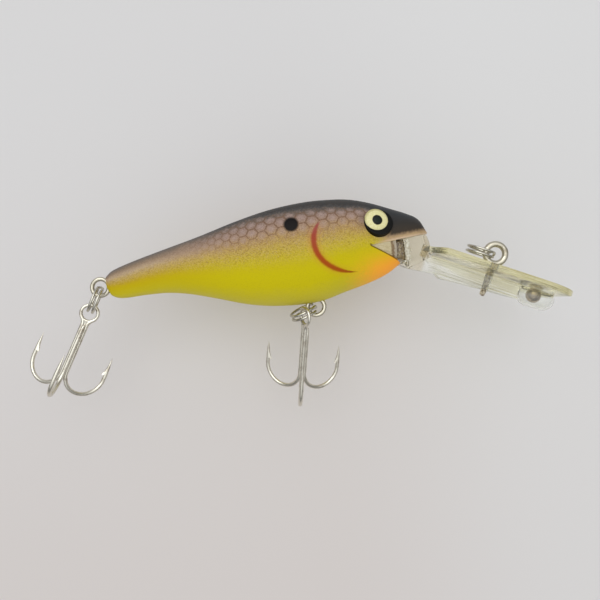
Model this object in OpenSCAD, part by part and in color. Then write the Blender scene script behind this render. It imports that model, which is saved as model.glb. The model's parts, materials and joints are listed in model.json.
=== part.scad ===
// Deep-diving shad crankbait: hollow two-part body, clear diving lip with a rattle, and two treble hooks.
// Millimetres. +X towards the nose, +Z towards the back, +Y towards the left flank.
// The origin is the centre of the line tie's eye, by which the fishing line holds the lure.

/* [Body] */
// Length of the body from tail end to upper jaw
body_len = 70; // [66:1:76]
// Greatest depth of the body from back to belly
body_depth = 21.8; // [20:0.2:24]
// Greatest width of the body
body_width = 15.5; // [14:0.5:18]
// Wall thickness of the body halves
wall = 1.4; // [1.2:0.1:1.8]

/* [Diving lip] */
// Angle of the lip below the body's axis
lip_slope = 27.2; // [24:0.1:32]
// Length of the lip in front of the upper jaw
lip_len = 31.3; // [30.5:0.1:35]
// Width of the blade
lip_width = 19; // [17:0.5:21]
// Width of the neck where the lip leaves the mouth
neck_width = 9.4; // [8:0.2:11]
// Thickness of the plate
lip_thick = 1.3; // [1:0.1:1.6]
// Width of the keel under the plate
keel_width = 2.4; // [2.2:0.1:3]

/* [Lip rattle] */
// Outer radius of the rattle bulb
bulb_r = 2.4; // [2.2:0.1:2.6]
// Length of the rattle bulb along the lip
bulb_len = 8.2; // [7.6:0.2:9]
// Wall thickness of the rattle bulb
bulb_wall = 0.45; // [0.4:0.05:0.5]
// Diameter of the steel ball
ball_d = 3.2; // [2.8:0.1:3.2]

/* [Line tie] */
// Distance of the eye along the lip from the upper jaw
tie_reach = 14.3; // [13:0.1:15]
// Height of the eye's centre above the lip
tie_height = 3.55; // [3.4:0.05:4]
// Hole of the eye
tie_hole = 2.9; // [2.7:0.1:3.1]
// Wire of the eye
tie_wire = 1.35; // [1.2:0.05:1.5]

/* [Eyes] */
// Diameter of the black cup
eye_cup_d = 6.1; // [5.6:0.1:6.6]
// Diameter of the domed lens
eye_lens_d = 4.8; // [4.2:0.1:5]
// Distance of the eye behind the upper jaw
eye_back = 10.7; // [10:0.1:12]
// Height of the eye above the body's axis
eye_height = 3.4; // [3:0.1:4]

/* [Hangers and rings] */
// Hole of a hanger's eye
hanger_hole = 2.7; // [2.6:0.05:2.9]
// Wire of the hangers
hanger_wire = 0.95; // [0.9:0.05:1]
// Outer diameter of a split ring
ring_d = 6.3; // [6.1:0.1:6.6]
// Wire of a split ring
ring_wire = 0.55; // [0.5:0.05:0.6]
// Distance between the two turns of a split ring
ring_pitch = 0.99; // [0.98:0.01:1.02]

/* [Treble hooks] */
// Wire of a treble hook
hook_wire = 0.88; // [0.8:0.02:1]
// Length from the centre of the hook's eye to the outside of the bend
hook_len = 18.3; // [18:0.1:20]
// Radius of the bend
bend_r = 4.3; // [3.8:0.05:4.5]
// Height of the point above the outside of the bend
point_height = 10.1; // [9:0.1:10.5]
// Hole of a treble hook's eye
hook_hole = 2.85; // [2.8:0.05:3]
// Wire of a treble hook's eye, drawn thinner than the shank
hook_eye_wire = 0.72; // [0.65:0.01:0.9]

/* [Rest pose] */
// Swing of the line tie's ring, upwards from lying straight back
tie_ring_lift = 27; // [20:1:40]
// Roll of the line tie's ring about its own length
tie_ring_roll = 6; // [0:1:8]
// Drop of the line tie's ring in the eye, towards the lip
tie_ring_drop = 0.5; // [0:0.05:0.5]
// Swing of the belly ring towards the tail
belly_ring_swing = 74; // [70:1:76]
// Roll of the belly ring about its own length
belly_ring_roll = 12; // [8:1:15]
// Swing of the belly treble towards the tail
belly_hook_swing = 13; // [8:1:16]
// Lean of the belly treble towards the left flank
belly_hook_lean = 20; // [14:1:22]
// Swing of the tail ring and treble towards the tail
tail_swing = 32; // [28:1:40]
// Roll of the tail ring about its own length
tail_ring_roll = 15; // [0:1:15]
// Lean of the tail treble towards the left flank
tail_hook_lean = -1; // [-4:1:6]
// Turn of the tail treble about its shank
tail_hook_spin = 11; // [0:1:15]

/* [Hidden] */
$fn = 48;

// Colours that several pieces share
PAINT = [0.62, 0.5, 0.38];
CUP_BLACK = [0.06, 0.06, 0.06];
IRIS_CREAM = [0.9, 0.87, 0.6];
WIRE_STEEL = [0.72, 0.7, 0.64];
RING_STEEL = [0.72, 0.7, 0.66];
HOOK_NICKEL = [0.7, 0.67, 0.6];

// Play between pieces that are glued, welded or pressed together
seat = 0.04;
// Small overrun that keeps cuts clear of the faces they pass through
over = 1;

// Body lines at stations along the length: [percent of length, percent of depth or of half width]
BACK = [
    [0, 7.5], [2, 12], [8, 17.5], [18, 24.3], [30, 32], [42, 41], [53, 47.3], [64, 49.5],
    [72, 48], [78, 45], [84, 38.6], [90, 29.8], [95, 22], [98, 15], [100, 2]
];
BELLY = [
    [0, -6.5], [1, -12.5], [4, -16.3], [11, -16.8], [18, -18.2], [25, -23], [33, -31.5], [42, -41.7],
    [50, -47.6], [60, -50.6], [66, -49.5], [72, -45.2], [80, -39.8], [86, -33.8], [90.5, -25.8],
    [95, -16], [98.5, -6], [100, -1]
];
FLANK = [
    [0, 13], [1.5, 22], [8, 34], [18, 50], [30, 71], [42, 89], [54, 98], [64, 100],
    [74, 96], [82, 88], [90, 74], [95, 59], [98, 43], [100, 17]
];
// Share of the depth at which a section is widest, and how full its flanks are
WIDEST = 0.52;
FULLNESS = 0.9;

// Value of a smooth curve through hand-set points, as a cubic between neighbours
function slope_at(line, i) =
    let (a = line[max(i - 1, 0)], b = line[min(i + 1, len(line) - 1)]) (b[1] - a[1]) / (b[0] - a[0]);
function cubic(a, b, slope_a, slope_b, f) =
    let (w = b[0] - a[0], g = 1 - f)
    a[1] * g * g * (1 + 2 * f) + b[1] * f * f * (1 + 2 * g) + w * f * g * (slope_a * g - slope_b * f);
function span_of(line, x, i = 0) = i >= len(line) - 2 || x <= line[i + 1][0] ? i : span_of(line, x, i + 1);
function curve(line, x) =
    let (i = span_of(line, x), a = line[i], b = line[i + 1])
    cubic(a, b, slope_at(line, i), slope_at(line, i + 1), (x - a[0]) / (b[0] - a[0]));

function percent(x) = 100 * x / body_len;
function back_z(x) = curve(BACK, percent(x)) * body_depth / 100;
function belly_z(x) = curve(BELLY, percent(x)) * body_depth / 100;
function flank_y(x) = curve(FLANK, percent(x)) * body_width / 200;

// Point of the skin at distance x from the tail and angle t down from the back, sunk by a depth
function skin_point(x, t, sunk) =
    let (
        top = back_z(x) - sunk,
        low = belly_z(x) + sunk,
        level = low + WIDEST * (top - low),
        rise = cos(t) > 0 ? top - level : level - low
    ) [x, max(flank_y(x) - sunk, 0.2) * pow(abs(sin(t)), FULLNESS), level + rise * cos(t)];
// Distance of the flank from the body's middle plane at a place on the side view
function skin_y(x, z) =
    let (
        top = back_z(x),
        low = belly_z(x),
        level = low + WIDEST * (top - low),
        share = z > level ? (z - level) / (top - level) : (level - z) / (level - low)
    ) flank_y(x) * pow(sqrt(1 - share * share), FULLNESS);

// One half of the body as a loft: stations from the tail, each a row of points from back to belly
function stations(from, to, count) =
    [for (i = [0:count]) from + (to - from) * (1 - cos(180 * i / count)) / 2];
module half_loft(xs, rows, sunk) {
    last = len(xs) - 1;
    ring = rows + 1;
    points = [for (x = xs, j = [0:rows]) skin_point(x, 180 * j / rows, sunk)];
    skin = [for (i = [0:last - 1], j = [0:rows - 1])
        let (k = i * ring + j) each [[k, k + 1, k + ring + 1], [k, k + ring + 1, k + ring]]];
    seam = [for (i = [0:last - 1])
        let (k = i * ring) each [[k, k + ring, k + rows], [k + ring, k + ring + rows, k + rows]]];
    tail_end = [for (j = [1:rows - 1]) [0, j + 1, j]];
    nose_end = [for (j = [1:rows - 1]) [last * ring, last * ring + j, last * ring + j + 1]];
    polyhedron(points, concat(skin, seam, tail_end, nose_end));
}

// Places in the side view, [x from the tail, z]
nose = body_len;
mouth_corner = [nose - 13, -1.05];
jaw_back = nose - 7.6;
root_back = nose - 5.9;
upper_jaw = [mouth_corner, [jaw_back, -0.72], [nose + over, -0.15]];
lower_jaw = [[nose - 6.6, -5.7], [nose - 7.8, -4.5]];
mouth_low = -9;
mouth_step = 0.35;
lip_start = [nose, -3.3];
// Side outline of the lip's root, from the back round by the upper jaw, the front and the plate
root_side = [
    [root_back, -0.7], [nose - 0.9, -0.36], [nose - 0.45, -2.5], [nose - 0.1, -5.3], [nose - 1.7, -5.7],
    [nose - 5, -6.9], [nose - 6.5, -5.75], [root_back, -5.2]
];
// Cone that rounds the root and the glue behind it to the mouth: start, height of its axis, length, radii
root_cone_at = [nose - 8, 0, -2.2];
root_cone_len = 9;
root_cone_r = [5, 3.9];
// Side outline of the keel, [distance along the lip, height over its top face]
bulb_reach = 25.4;
keel_end = bulb_reach - bulb_len / 2 + 0.15;
keel_side = [
    [-2.6, -lip_thick / 2], [keel_end, -lip_thick / 2], [keel_end, -4.4], [13, -4.8], [4.2, -5.35],
    [3, -4.7], [0.6, -5.1], [-2.6, -5.4]
];
tongue_size = [7, 5, 2];
tongue_at = [nose - 11.3, -2.5, -3.6];

hanger_r = (hanger_hole + hanger_wire) / 2;
tie_r = (tie_hole + tie_wire) / 2;
ring_r = (ring_d - ring_wire) / 2;
hook_eye_r = (hook_hole + hook_eye_wire) / 2;

// Hanger eyes, and the inner loops that sit on posts inside the body
belly_eye = [nose - 26, 0, -11.95];
belly_loop = belly_eye + [0, 0, 6.2];
tail_eye = [-1.65, 0, -0.5];
tail_loop = tail_eye + [9, 0, 0];
loop_hole = 2;
loop_r = (loop_hole + hanger_wire) / 2;
neck_r = 0.8;
post_r = 0.85;

slug_r = 2.5;
slug_len = 10;
slug_at = [nose - 39, 0, -4.6];

// Eye on the right flank: surface point, and how far it turns to the nose and up
eye_at = [nose - eye_back, -skin_y(nose - eye_back, eye_height), eye_height];
eye_yaw = 12;
eye_pitch = 24;
cup_depth = 1;
cup_proud = 0.12;
lens_rise = 0.65;
lens_shift = [-0.4, 0.5];

// Directions of the rings and hooks at rest
function swung(angle) = [-sin(angle), 0, -cos(angle)];
function leaned(swing, lean) = [-sin(swing) * cos(lean), sin(lean), -cos(swing) * cos(lean)];
tie_eye = [lip_start[0], 0, lip_start[1]] + tie_reach * [cos(lip_slope), 0, -sin(lip_slope)]
    + tie_height * [sin(lip_slope), 0, cos(lip_slope)];
tie_ring_swing = 90 + tie_ring_lift;
tie_ring_slack = 0.35;
tie_ring_at = tie_eye + (ring_r + tie_ring_slack) * swung(tie_ring_swing)
    + tie_ring_drop * swung(tie_ring_swing - 90);
belly_ring_at = belly_eye + ring_r * swung(belly_ring_swing);
// The belly ring's low side, on the right, where the treble hangs
belly_ring_side = [
    sin(belly_ring_roll) * cos(belly_ring_swing),
    -cos(belly_ring_roll),
    -sin(belly_ring_roll) * sin(belly_ring_swing)
];
hook_slack = 0.35;
belly_hook_at = belly_ring_at + ring_r * belly_ring_side
    + hook_slack * leaned(belly_hook_swing, belly_hook_lean);
belly_hook_spin = 120;
tail_ring_at = tail_eye + ring_r * swung(tail_swing);
tail_hook_at = tail_ring_at + ring_r * swung(tail_swing) + hook_slack * leaned(tail_swing, tail_hook_lean);

// Moves the body's own measure, from the tail end, to the lure's frame at the line tie
module lure_frame() { translate(-tie_eye) children(); }

// Frame on the lip's top face: X along the lip, Z out of its top
module lip_frame() { translate([lip_start[0], 0, lip_start[1]]) rotate([0, lip_slope, 0]) children(); }

// A side outline made solid across the middle plane
module across(width) { rotate([90, 0, 0]) linear_extrude(width, center = true) children(); }

// Wire circle about the Y axis
module wire_eye(radius, wire) {
    rotate([90, 0, 0]) rotate_extrude() translate([radius, 0]) circle(d = wire, $fn = 32);
}

// Wire carried along a path: a ring of points at each place, squared to the path and never twisted.
// A barb raises the points that face the barb's direction.
function unit(v) = v / norm(v);
function tangents(path) =
    [for (i = [0:len(path) - 1]) unit(path[min(i + 1, len(path) - 1)] - path[max(i - 1, 0)])];
function squared(v, t) = unit(v - (v * t) * t);
function normals(ts, first, i = 0) =
    let (n = squared(first, ts[i])) i == len(ts) - 1 ? [n] : concat([n], normals(ts, n, i + 1));
module wire_along(path, radii, barbs, barb_dirs, first_normal, sides) {
    ts = tangents(path);
    ns = normals(ts, first_normal);
    last = len(path) - 1;
    points = [for (i = [0:last], j = [0:sides - 1])
        let (
            a = 360 * j / sides,
            out = cos(a) * ns[i] + sin(a) * cross(ts[i], ns[i]),
            barb = barbs[i] * pow(max(0, out * barb_dirs[i]), 3)
        ) path[i] + (radii[i] + barb) * out];
    skin = [for (i = [0:last - 1], j = [0:sides - 1])
        let (k = i * sides, n = (j + 1) % sides)
        each [[k + j, k + sides + n, k + n], [k + j, k + sides + j, k + sides + n]]];
    start = [for (j = [1:sides - 2]) [0, j, j + 1]];
    end = [for (j = [1:sides - 2]) [last * sides, last * sides + j + 1, last * sides + j]];
    polyhedron(points, concat(skin, start, end));
}

// Split ring about the X axis: one wire of two turns, which crosses over at the top of the ring
CROSSING = 60;
TURN_STEPS = 24;
function ring_path() =
    let (sweep = 720 - CROSSING, steps = 2 * TURN_STEPS)
    [for (i = [0:steps])
        let (
            a = CROSSING / 2 + sweep * i / steps,
            f = min(1, max(0, (a - 360 + CROSSING / 2) / CROSSING)),
            side = f * f * (3 - 2 * f) - 0.5
        ) [side * ring_pitch, ring_r * sin(a), ring_r * cos(a)]];
// Least gap of the ring's wire to itself, measured between points half a turn or more apart on the path
ring_points = ring_path();
ring_gap = min([for (i = [0:len(ring_points) - 1], j = [0:len(ring_points) - 1])
    if (j - i >= TURN_STEPS / 2) norm(ring_points[i] - ring_points[j])]) - ring_wire;
echo("least gap of a split ring's wire to itself", ring_gap);
module split_ring(at, swing, roll) {
    none = [for (p = ring_points) 0];
    translate(at) rotate([0, swing, 0]) rotate([0, 0, roll])
        wire_along(ring_points, [for (p = ring_points) ring_wire / 2], none,
            [for (p = ring_points) [1, 0, 0]], [1, 0, 0], 6);
}

// Treble hook: eye at the origin in the XZ plane, shank down -Z, single hook towards -Y
HOOK_SIDES = 8;
BEND_STEP = 15;
shank_gap = 0.05;
leg_x = (hook_wire + shank_gap) / 2;
single_y = -sqrt(3) * leg_x;
bend_z = -(hook_len - bend_r - hook_wire / 2);
tip_z = point_height - hook_len;
eye_blend = 2;
eye_blend_z = -sqrt(pow(hook_eye_r + eye_blend, 2) - pow(leg_x + eye_blend, 2));
eye_blend_angle = atan2(-eye_blend_z, leg_x + eye_blend);
// Rows up the point: [distance from the tip, share of the wire's radius, barb height]
POINT_ROWS = [[0, 0.08, 0], [1.3, 0.5, 0], [2.7, 0.82, 0], [4.3, 0.94, 0.55], [4.5, 1, 0]];
// Point and bend of one prong, from its tip to the foot of its leg
function prong_path(leg, facing) = concat(
    [for (row = POINT_ROWS) leg + 2 * bend_r * facing + [0, 0, tip_z - row[0]]],
    [for (a = [360:-BEND_STEP:180]) leg + bend_r * (1 + cos(a)) * facing + [0, 0, bend_z + bend_r * sin(a)]]
);
function prong_radii(leg_rows) = concat(
    [for (row = POINT_ROWS) row[1] * hook_wire / 2],
    [for (a = [360:-BEND_STEP:180]) hook_wire / 2],
    [for (i = [1:leg_rows]) hook_wire / 2]
);
function prong_barbs(leg_rows) = concat(
    [for (row = POINT_ROWS) row[2]],
    [for (i = [1:leg_rows + 180 / BEND_STEP + 1]) 0]
);
function reversed(list) = [for (i = [len(list) - 1:-1:0]) list[i]];
function facing(angle) = [cos(angle), sin(angle), 0];

module double_hook() {
    prong = prong_path([leg_x, 0, 0], facing(30));
    other = prong_path([-leg_x, 0, 0], facing(150));
    blend_x = leg_x + eye_blend;
    // Half of the eye: out of the leg, then round to the top
    half_eye = concat(
        [for (i = [0:3]) let (a = 180 - eye_blend_angle * i / 3)
            [blend_x + eye_blend * cos(a), 0, eye_blend_z + eye_blend * sin(a)]],
        [for (i = [1:8]) let (a = -eye_blend_angle + (90 + eye_blend_angle) * i / 8)
            hook_eye_r * [cos(a), 0, sin(a)]]
    );
    other_half = [for (i = [len(half_eye) - 2:-1:0]) [-half_eye[i][0], 0, half_eye[i][2]]];
    // The wire thins from the legs into the eye
    half_radii = [for (i = [0:len(half_eye) - 1])
        let (f = min(1, i / 4)) (hook_wire + (hook_eye_wire - hook_wire) * f) / 2];
    other_radii = [for (i = [len(half_eye) - 2:-1:0]) half_radii[i]];
    flat = [for (i = [1:len(half_eye) + len(other_half)]) 0];
    path = concat(prong, half_eye, other_half, reversed(other));
    radii = concat(prong_radii(0), half_radii, other_radii, reversed(prong_radii(0)));
    barbs = concat(prong_barbs(0), flat, reversed(prong_barbs(0)));
    dirs = concat([for (p = prong) -facing(30)], [for (f = flat) [0, 1, 0]], [for (p = other) -facing(150)]);
    wire_along(path, radii, barbs, dirs, -facing(30), HOOK_SIDES);
}

module single_hook() {
    leg = [0, single_y, 0];
    top = [leg + [0, 0, eye_blend_z - 0.6], leg + [0, 0, eye_blend_z - 0.1]];
    path = concat(prong_path(leg, facing(-90)), top);
    radii = concat(prong_radii(1), [hook_wire / 4]);
    wire_along(path, radii, prong_barbs(2), [for (p = path) [0, 1, 0]], [0, 1, 0], HOOK_SIDES);
}

module hook_place(at, swing, lean, spin) {
    translate(at) rotate([0, swing, 0]) rotate([lean, 0, 0]) rotate([0, 0, spin]) children();
}

// Figure-eight wire hanger: outer eye, twisted neck and inner loop, along a direction in the middle plane
module hanger(eye, loop) {
    reach = norm(loop - eye);
    translate(eye) wire_eye(hanger_r, hanger_wire);
    translate(loop) wire_eye(loop_r, hanger_wire);
    translate(eye) rotate([0, atan2(loop[0] - eye[0], loop[2] - eye[2]), 0])
        translate([0, 0, hanger_r]) cylinder(h = reach - hanger_r - loop_r, r = neck_r);
}
// Room for a hanger in the two halves
module hanger_pocket(eye, loop) {
    room = hanger_wire / 2 + 0.1;
    reach = norm(loop - eye);
    for (end = [[eye, hanger_r + room + 0.1], [loop, loop_r + room]])
        translate(end[0]) rotate([90, 0, 0]) cylinder(h = 2 * room, r = end[1], center = true);
    translate(eye) rotate([0, atan2(loop[0] - eye[0], loop[2] - eye[2]), 0])
        cylinder(h = reach, r = neck_r + seat);
}

// Mouth: open right across in front of the jaw line, and a shallow step back to its corner
module mouth() {
    cut = 2 * body_width;
    across(cut) polygon([
        upper_jaw[1], upper_jaw[2], [nose + over, mouth_low], lower_jaw[0], [jaw_back, lower_jaw[1][1] - 0.3]
    ]);
    difference() {
        across(cut) polygon([
            mouth_corner, upper_jaw[1] - [0, seat], [jaw_back + mouth_step, upper_jaw[1][1] - seat],
            [jaw_back + mouth_step, lower_jaw[1][1]], lower_jaw[1]
        ]);
        for (side = [0, 1]) mirror([0, side, 0]) half_loft(stations(0, nose, 24), 12, mouth_step);
    }
    translate(tongue_at - [seat, seat, seat]) cube(tongue_size + 2 * [seat, seat, seat]);
}

module eye_place() { translate(eye_at) rotate([90 - eye_pitch, 0, eye_yaw]) children(); }

// Boss from the flank to the seam, drafted like a moulded post
draft = 0.35;
module boss(x, z, r) {
    hull() {
        translate([x, 0, z]) rotate([-90, 0, 0]) cylinder(h = 0.5, r = r, $fn = 20);
        translate([x, 0, z]) rotate([-90, 0, 0]) cylinder(h = body_width / 2, r = r + draft, $fn = 20);
    }
}
pin_posts = [[nose - 47, 1], [nose - 15.5, 4.5]];
pin_r = 0.7;
pin_len = 1.2;
cradle = [slug_at[0] + 1.5, slug_at[0] + slug_len - 2.5];
// Cradle rib under the ballast, thinner at its top edge
module cradle_rib(x) {
    hull() {
        translate([x, 0, slug_at[2] - 6]) cube([1.2, body_width / 2, 0.5]);
        translate([x + 0.15, 0, slug_at[2] - 0.8]) cube([0.9, body_width / 2, 0.5]);
    }
}
// Lengthwise stiffening rib on the inside of the flank
module flank_rib(z) {
    hull() for (x = [nose - 50, nose - 24])
        translate([x, flank_y(x) - 2.1, z]) rotate([-90, 0, 0]) cylinder(h = 2, r = 0.5, $fn = 12);
}

// Moulded half of the body on the left, with its cavity, posts and ribs
module body_half() {
    difference() {
        union() {
            difference() {
                half_loft(stations(0, nose, 44), 16, 0);
                half_loft(stations(nose - 57, nose - 14, 24), 12, wall);
            }
            intersection() {
                half_loft(stations(0, nose, 24), 12, 0.4);
                union() {
                    for (p = pin_posts) boss(p[0], p[1], 1.5);
                    boss(belly_loop[0], belly_loop[2], post_r);
                    for (x = cradle) cradle_rib(x);
                    for (z = [-1.5, 1.5, 4.5]) flank_rib(z);
                }
            }
        }
        mouth();
        difference() {
            union() {
                hanger_pocket(belly_eye, belly_loop);
                hanger_pocket(tail_eye, tail_loop);
            }
            for (loop = [belly_loop, tail_loop])
                translate(loop) rotate([90, 0, 0]) cylinder(h = 3, r = post_r, center = true, $fn = 24);
        }
        translate(slug_at - [seat, 0, 0]) rotate([0, 90, 0])
            cylinder(h = slug_len + 2 * seat, r = slug_r + seat);
        mirror([0, 1, 0]) eye_place() translate([0, 0, -cup_depth]) cylinder(h = 4, r = eye_cup_d / 2 + seat);
    }
}
module locating_pins(r, length) {
    for (p = pin_posts) translate([p[0], 0, p[1]]) rotate([-90, 0, 0]) cylinder(h = length, r = r, $fn = 24);
}

module right_body_shell() {
    lure_frame() color(PAINT) {
        mirror([0, 1, 0]) body_half();
        translate([0, -0.4, 0]) locating_pins(pin_r, pin_len + 0.4);
    }
}

module left_body_shell() {
    lure_frame() color(PAINT) difference() {
        body_half();
        translate([0, -0.2, 0]) locating_pins(pin_r + seat, pin_len + 0.3);
    }
}

// Lead slug with domed ends
module ballast_weight() {
    dome = 1;
    lure_frame() color([0.45, 0.46, 0.48]) translate(slug_at) rotate([0, 90, 0]) rotate_extrude()
        polygon([
            [0, 0], [slug_r - dome, 0], [slug_r, dome], [slug_r, slug_len - dome],
            [slug_r - dome, slug_len], [0, slug_len]
        ]);
}

// Half width of the lip at a distance along it: flared shoulders, then a full rounded end
SHOULDER = [-0.4, 2.4];
ROUND_FROM = 21;
ROUND_POWER = 2.8;
// The blade's front edge is thinned from below
THIN_FROM = 29.3;
thin_edge = 0.5;
function lip_half(u) =
    let (
        f = min(1, max(0, (u - SHOULDER[0]) / (SHOULDER[1] - SHOULDER[0]))),
        flare = neck_width / 2 + (lip_width - neck_width) / 2 * f * f * (3 - 2 * f),
        e = min(1, max(0, (u - ROUND_FROM) / (lip_len - ROUND_FROM)))
    ) flare * pow(1 - pow(e, ROUND_POWER), 1 / ROUND_POWER);
lip_rows = concat(
    [-2],
    [for (i = [0:8]) SHOULDER[0] + (SHOULDER[1] - SHOULDER[0]) * i / 8],
    [for (i = [0:16]) ROUND_FROM + (lip_len - ROUND_FROM) * sin(90 * i / 16)]
);
lip_outline = concat(
    [for (u = lip_rows) [u, lip_half(u)]],
    [for (i = [len(lip_rows) - 2:-1:0]) [lip_rows[i], -lip_half(lip_rows[i])]]
);

// Shank of the line tie below its eye, tapering to a rounded tip
shank_len = 9.6;
shank_r = 1;
shank_end_r = 0.62;
tip_r = 0.35;
collar = 0.3;
module shank(gap) {
    rotate_extrude() polygon([
        [0, -shank_len - gap], [tip_r + gap, -shank_len - gap], [shank_end_r + gap, -shank_len + tip_r],
        [shank_r + gap, -tie_r - collar], [shank_r + gap, -tie_r], [0, -tie_r]
    ]);
}

// Rattle bulb: a capsule along the lip, hanging below the plate
bulb_at = [bulb_reach, 0, -lip_thick - 1.45];
ARC_STEPS = 8;
module capsule(r, length) {
    straight = length / 2 - r;
    arc = [for (i = [0:ARC_STEPS]) let (a = 90 * i / ARC_STEPS) [r * cos(a), straight + r * sin(a)]];
    rotate([0, 90, 0]) rotate_extrude()
        polygon(concat(arc, [for (i = [ARC_STEPS:-1:0]) [arc[i][0], -arc[i][1]]]));
}

module root_cone(inset) {
    translate(root_cone_at) rotate([0, 90, 0])
        cylinder(h = root_cone_len, r1 = root_cone_r[0] - inset, r2 = root_cone_r[1] - inset);
}

module diving_lip() {
    lure_frame() color([0.86, 0.86, 0.74, 0.5]) difference() {
        union() {
            intersection() {
                across(body_width) polygon(root_side);
                root_cone(0);
            }
            translate(tongue_at) cube(tongue_size);
            lip_frame() translate([0, 0, -lip_thick]) linear_extrude(lip_thick) polygon(lip_outline);
            lip_frame() across(keel_width) polygon(keel_side);
        }
        lip_frame() across(2 * lip_width)
            polygon([[THIN_FROM, -lip_thick], [lip_len, -thin_edge], [lip_len, -2 * lip_thick]]);
        lip_frame() translate([tie_reach, 0, tie_height]) shank(seat);
        lip_frame() translate(bulb_at) capsule(bulb_r + seat, bulb_len + 2 * seat);
    }
}

// Cured glue between the lip's root and the back of the mouth
module lip_adhesive() {
    lure_frame() color([0.8, 0.76, 0.66]) difference() {
        intersection() {
            across(body_width) polygon([
                [jaw_back + seat, upper_jaw[1][1] - 0.1], [root_back - seat, upper_jaw[1][1] - 0.1],
                [root_back - seat, -5.1], [jaw_back + seat, -4.4]
            ]);
            root_cone(0.4);
        }
        translate(tongue_at - [seat, seat, seat]) cube(tongue_size + 2 * [seat, seat, seat]);
    }
}

module rattle_cover() {
    big = 20;
    lure_frame() color([0.88, 0.88, 0.8, 0.45]) lip_frame() difference() {
        translate(bulb_at) capsule(bulb_r, bulb_len);
        translate(bulb_at) capsule(bulb_r - bulb_wall, bulb_len - 2 * bulb_wall);
        translate([bulb_at[0] - big / 2, -big / 2, -lip_thick - seat]) cube(big);
    }
}

// Steel ball, resting a little behind the middle of its bulb
ball_shift = [-0.5, 0, 0.3];
module rattle_ball() {
    lure_frame() color([0.7, 0.7, 0.7]) lip_frame()
        translate(bulb_at + ball_shift) sphere(d = ball_d);
}

module line_tie() {
    lure_frame() color(WIRE_STEEL) lip_frame() translate([tie_reach, 0, tie_height]) {
        wire_eye(tie_r, tie_wire);
        shank(0);
    }
}

module line_tie_ring() {
    lure_frame() color(RING_STEEL) split_ring(tie_ring_at, tie_ring_swing, tie_ring_roll);
}

module eye_cup() {
    eye_place() difference() {
        translate([0, 0, -cup_depth + seat]) cylinder(h = cup_depth + cup_proud, r = eye_cup_d / 2);
        translate([lens_shift[0], lens_shift[1], -0.3]) cylinder(h = over, r = eye_lens_d / 2 + seat);
    }
}

// Domed lens, a slice of a ball on a short rim
module eye_lens() {
    r = eye_lens_d / 2;
    rim = 0.5;
    ball_r = (r * r + lens_rise * lens_rise) / (2 * lens_rise);
    arc = [for (i = [0:ARC_STEPS])
        let (a = asin(r / ball_r) * (1 - i / ARC_STEPS))
        [ball_r * sin(a), rim + ball_r * cos(a) - ball_r + lens_rise]];
    eye_place() translate([lens_shift[0], lens_shift[1], -0.3 + seat]) rotate_extrude()
        polygon(concat([[0, 0], [r, 0]], arc));
}

module right_eye_cup() { lure_frame() color(CUP_BLACK) eye_cup(); }
module right_eye_lens() { lure_frame() color(IRIS_CREAM) eye_lens(); }
module left_eye_cup() { lure_frame() color(CUP_BLACK) mirror([0, 1, 0]) eye_cup(); }
module left_eye_lens() { lure_frame() color(IRIS_CREAM) mirror([0, 1, 0]) eye_lens(); }

module belly_hanger() { lure_frame() color(WIRE_STEEL) hanger(belly_eye, belly_loop); }
module tail_hanger() { lure_frame() color(WIRE_STEEL) hanger(tail_eye, tail_loop); }

module belly_ring() {
    lure_frame() color(RING_STEEL) split_ring(belly_ring_at, belly_ring_swing, belly_ring_roll);
}

module tail_ring() { lure_frame() color(RING_STEEL) split_ring(tail_ring_at, tail_swing, tail_ring_roll); }

module belly_double_hook() {
    lure_frame() color(HOOK_NICKEL)
        hook_place(belly_hook_at, belly_hook_swing, belly_hook_lean, belly_hook_spin) double_hook();
}

module belly_single_hook() {
    lure_frame() color(HOOK_NICKEL)
        hook_place(belly_hook_at, belly_hook_swing, belly_hook_lean, belly_hook_spin) single_hook();
}

module tail_double_hook() {
    lure_frame() color(HOOK_NICKEL)
        hook_place(tail_hook_at, tail_swing, tail_hook_lean, tail_hook_spin) double_hook();
}

module tail_single_hook() {
    lure_frame() color(HOOK_NICKEL)
        hook_place(tail_hook_at, tail_swing, tail_hook_lean, tail_hook_spin) single_hook();
}

right_body_shell();
left_body_shell();
ballast_weight();
diving_lip();
lip_adhesive();
rattle_cover();
rattle_ball();
line_tie();
line_tie_ring();
right_eye_cup();
right_eye_lens();
left_eye_cup();
left_eye_lens();
belly_hanger();
belly_ring();
belly_double_hook();
belly_single_hook();
tail_hanger();
tail_ring();
tail_double_hook();
tail_single_hook();
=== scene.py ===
"""Looks of a deep-diving shad crankbait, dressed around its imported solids.

Lengths are millimetres in the body's own measure, with x from the tail end, y to the left flank and z up
from the body's axis. Meshes are written in metres in the lure's frame, whose origin is the centre of the
line tie's eye.
"""

import json
import logging
import math
from dataclasses import dataclass, field
from enum import Enum
from typing import Any, Sequence, Union

import bpy
import numpy as np
from mathutils import Matrix, Vector


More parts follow.
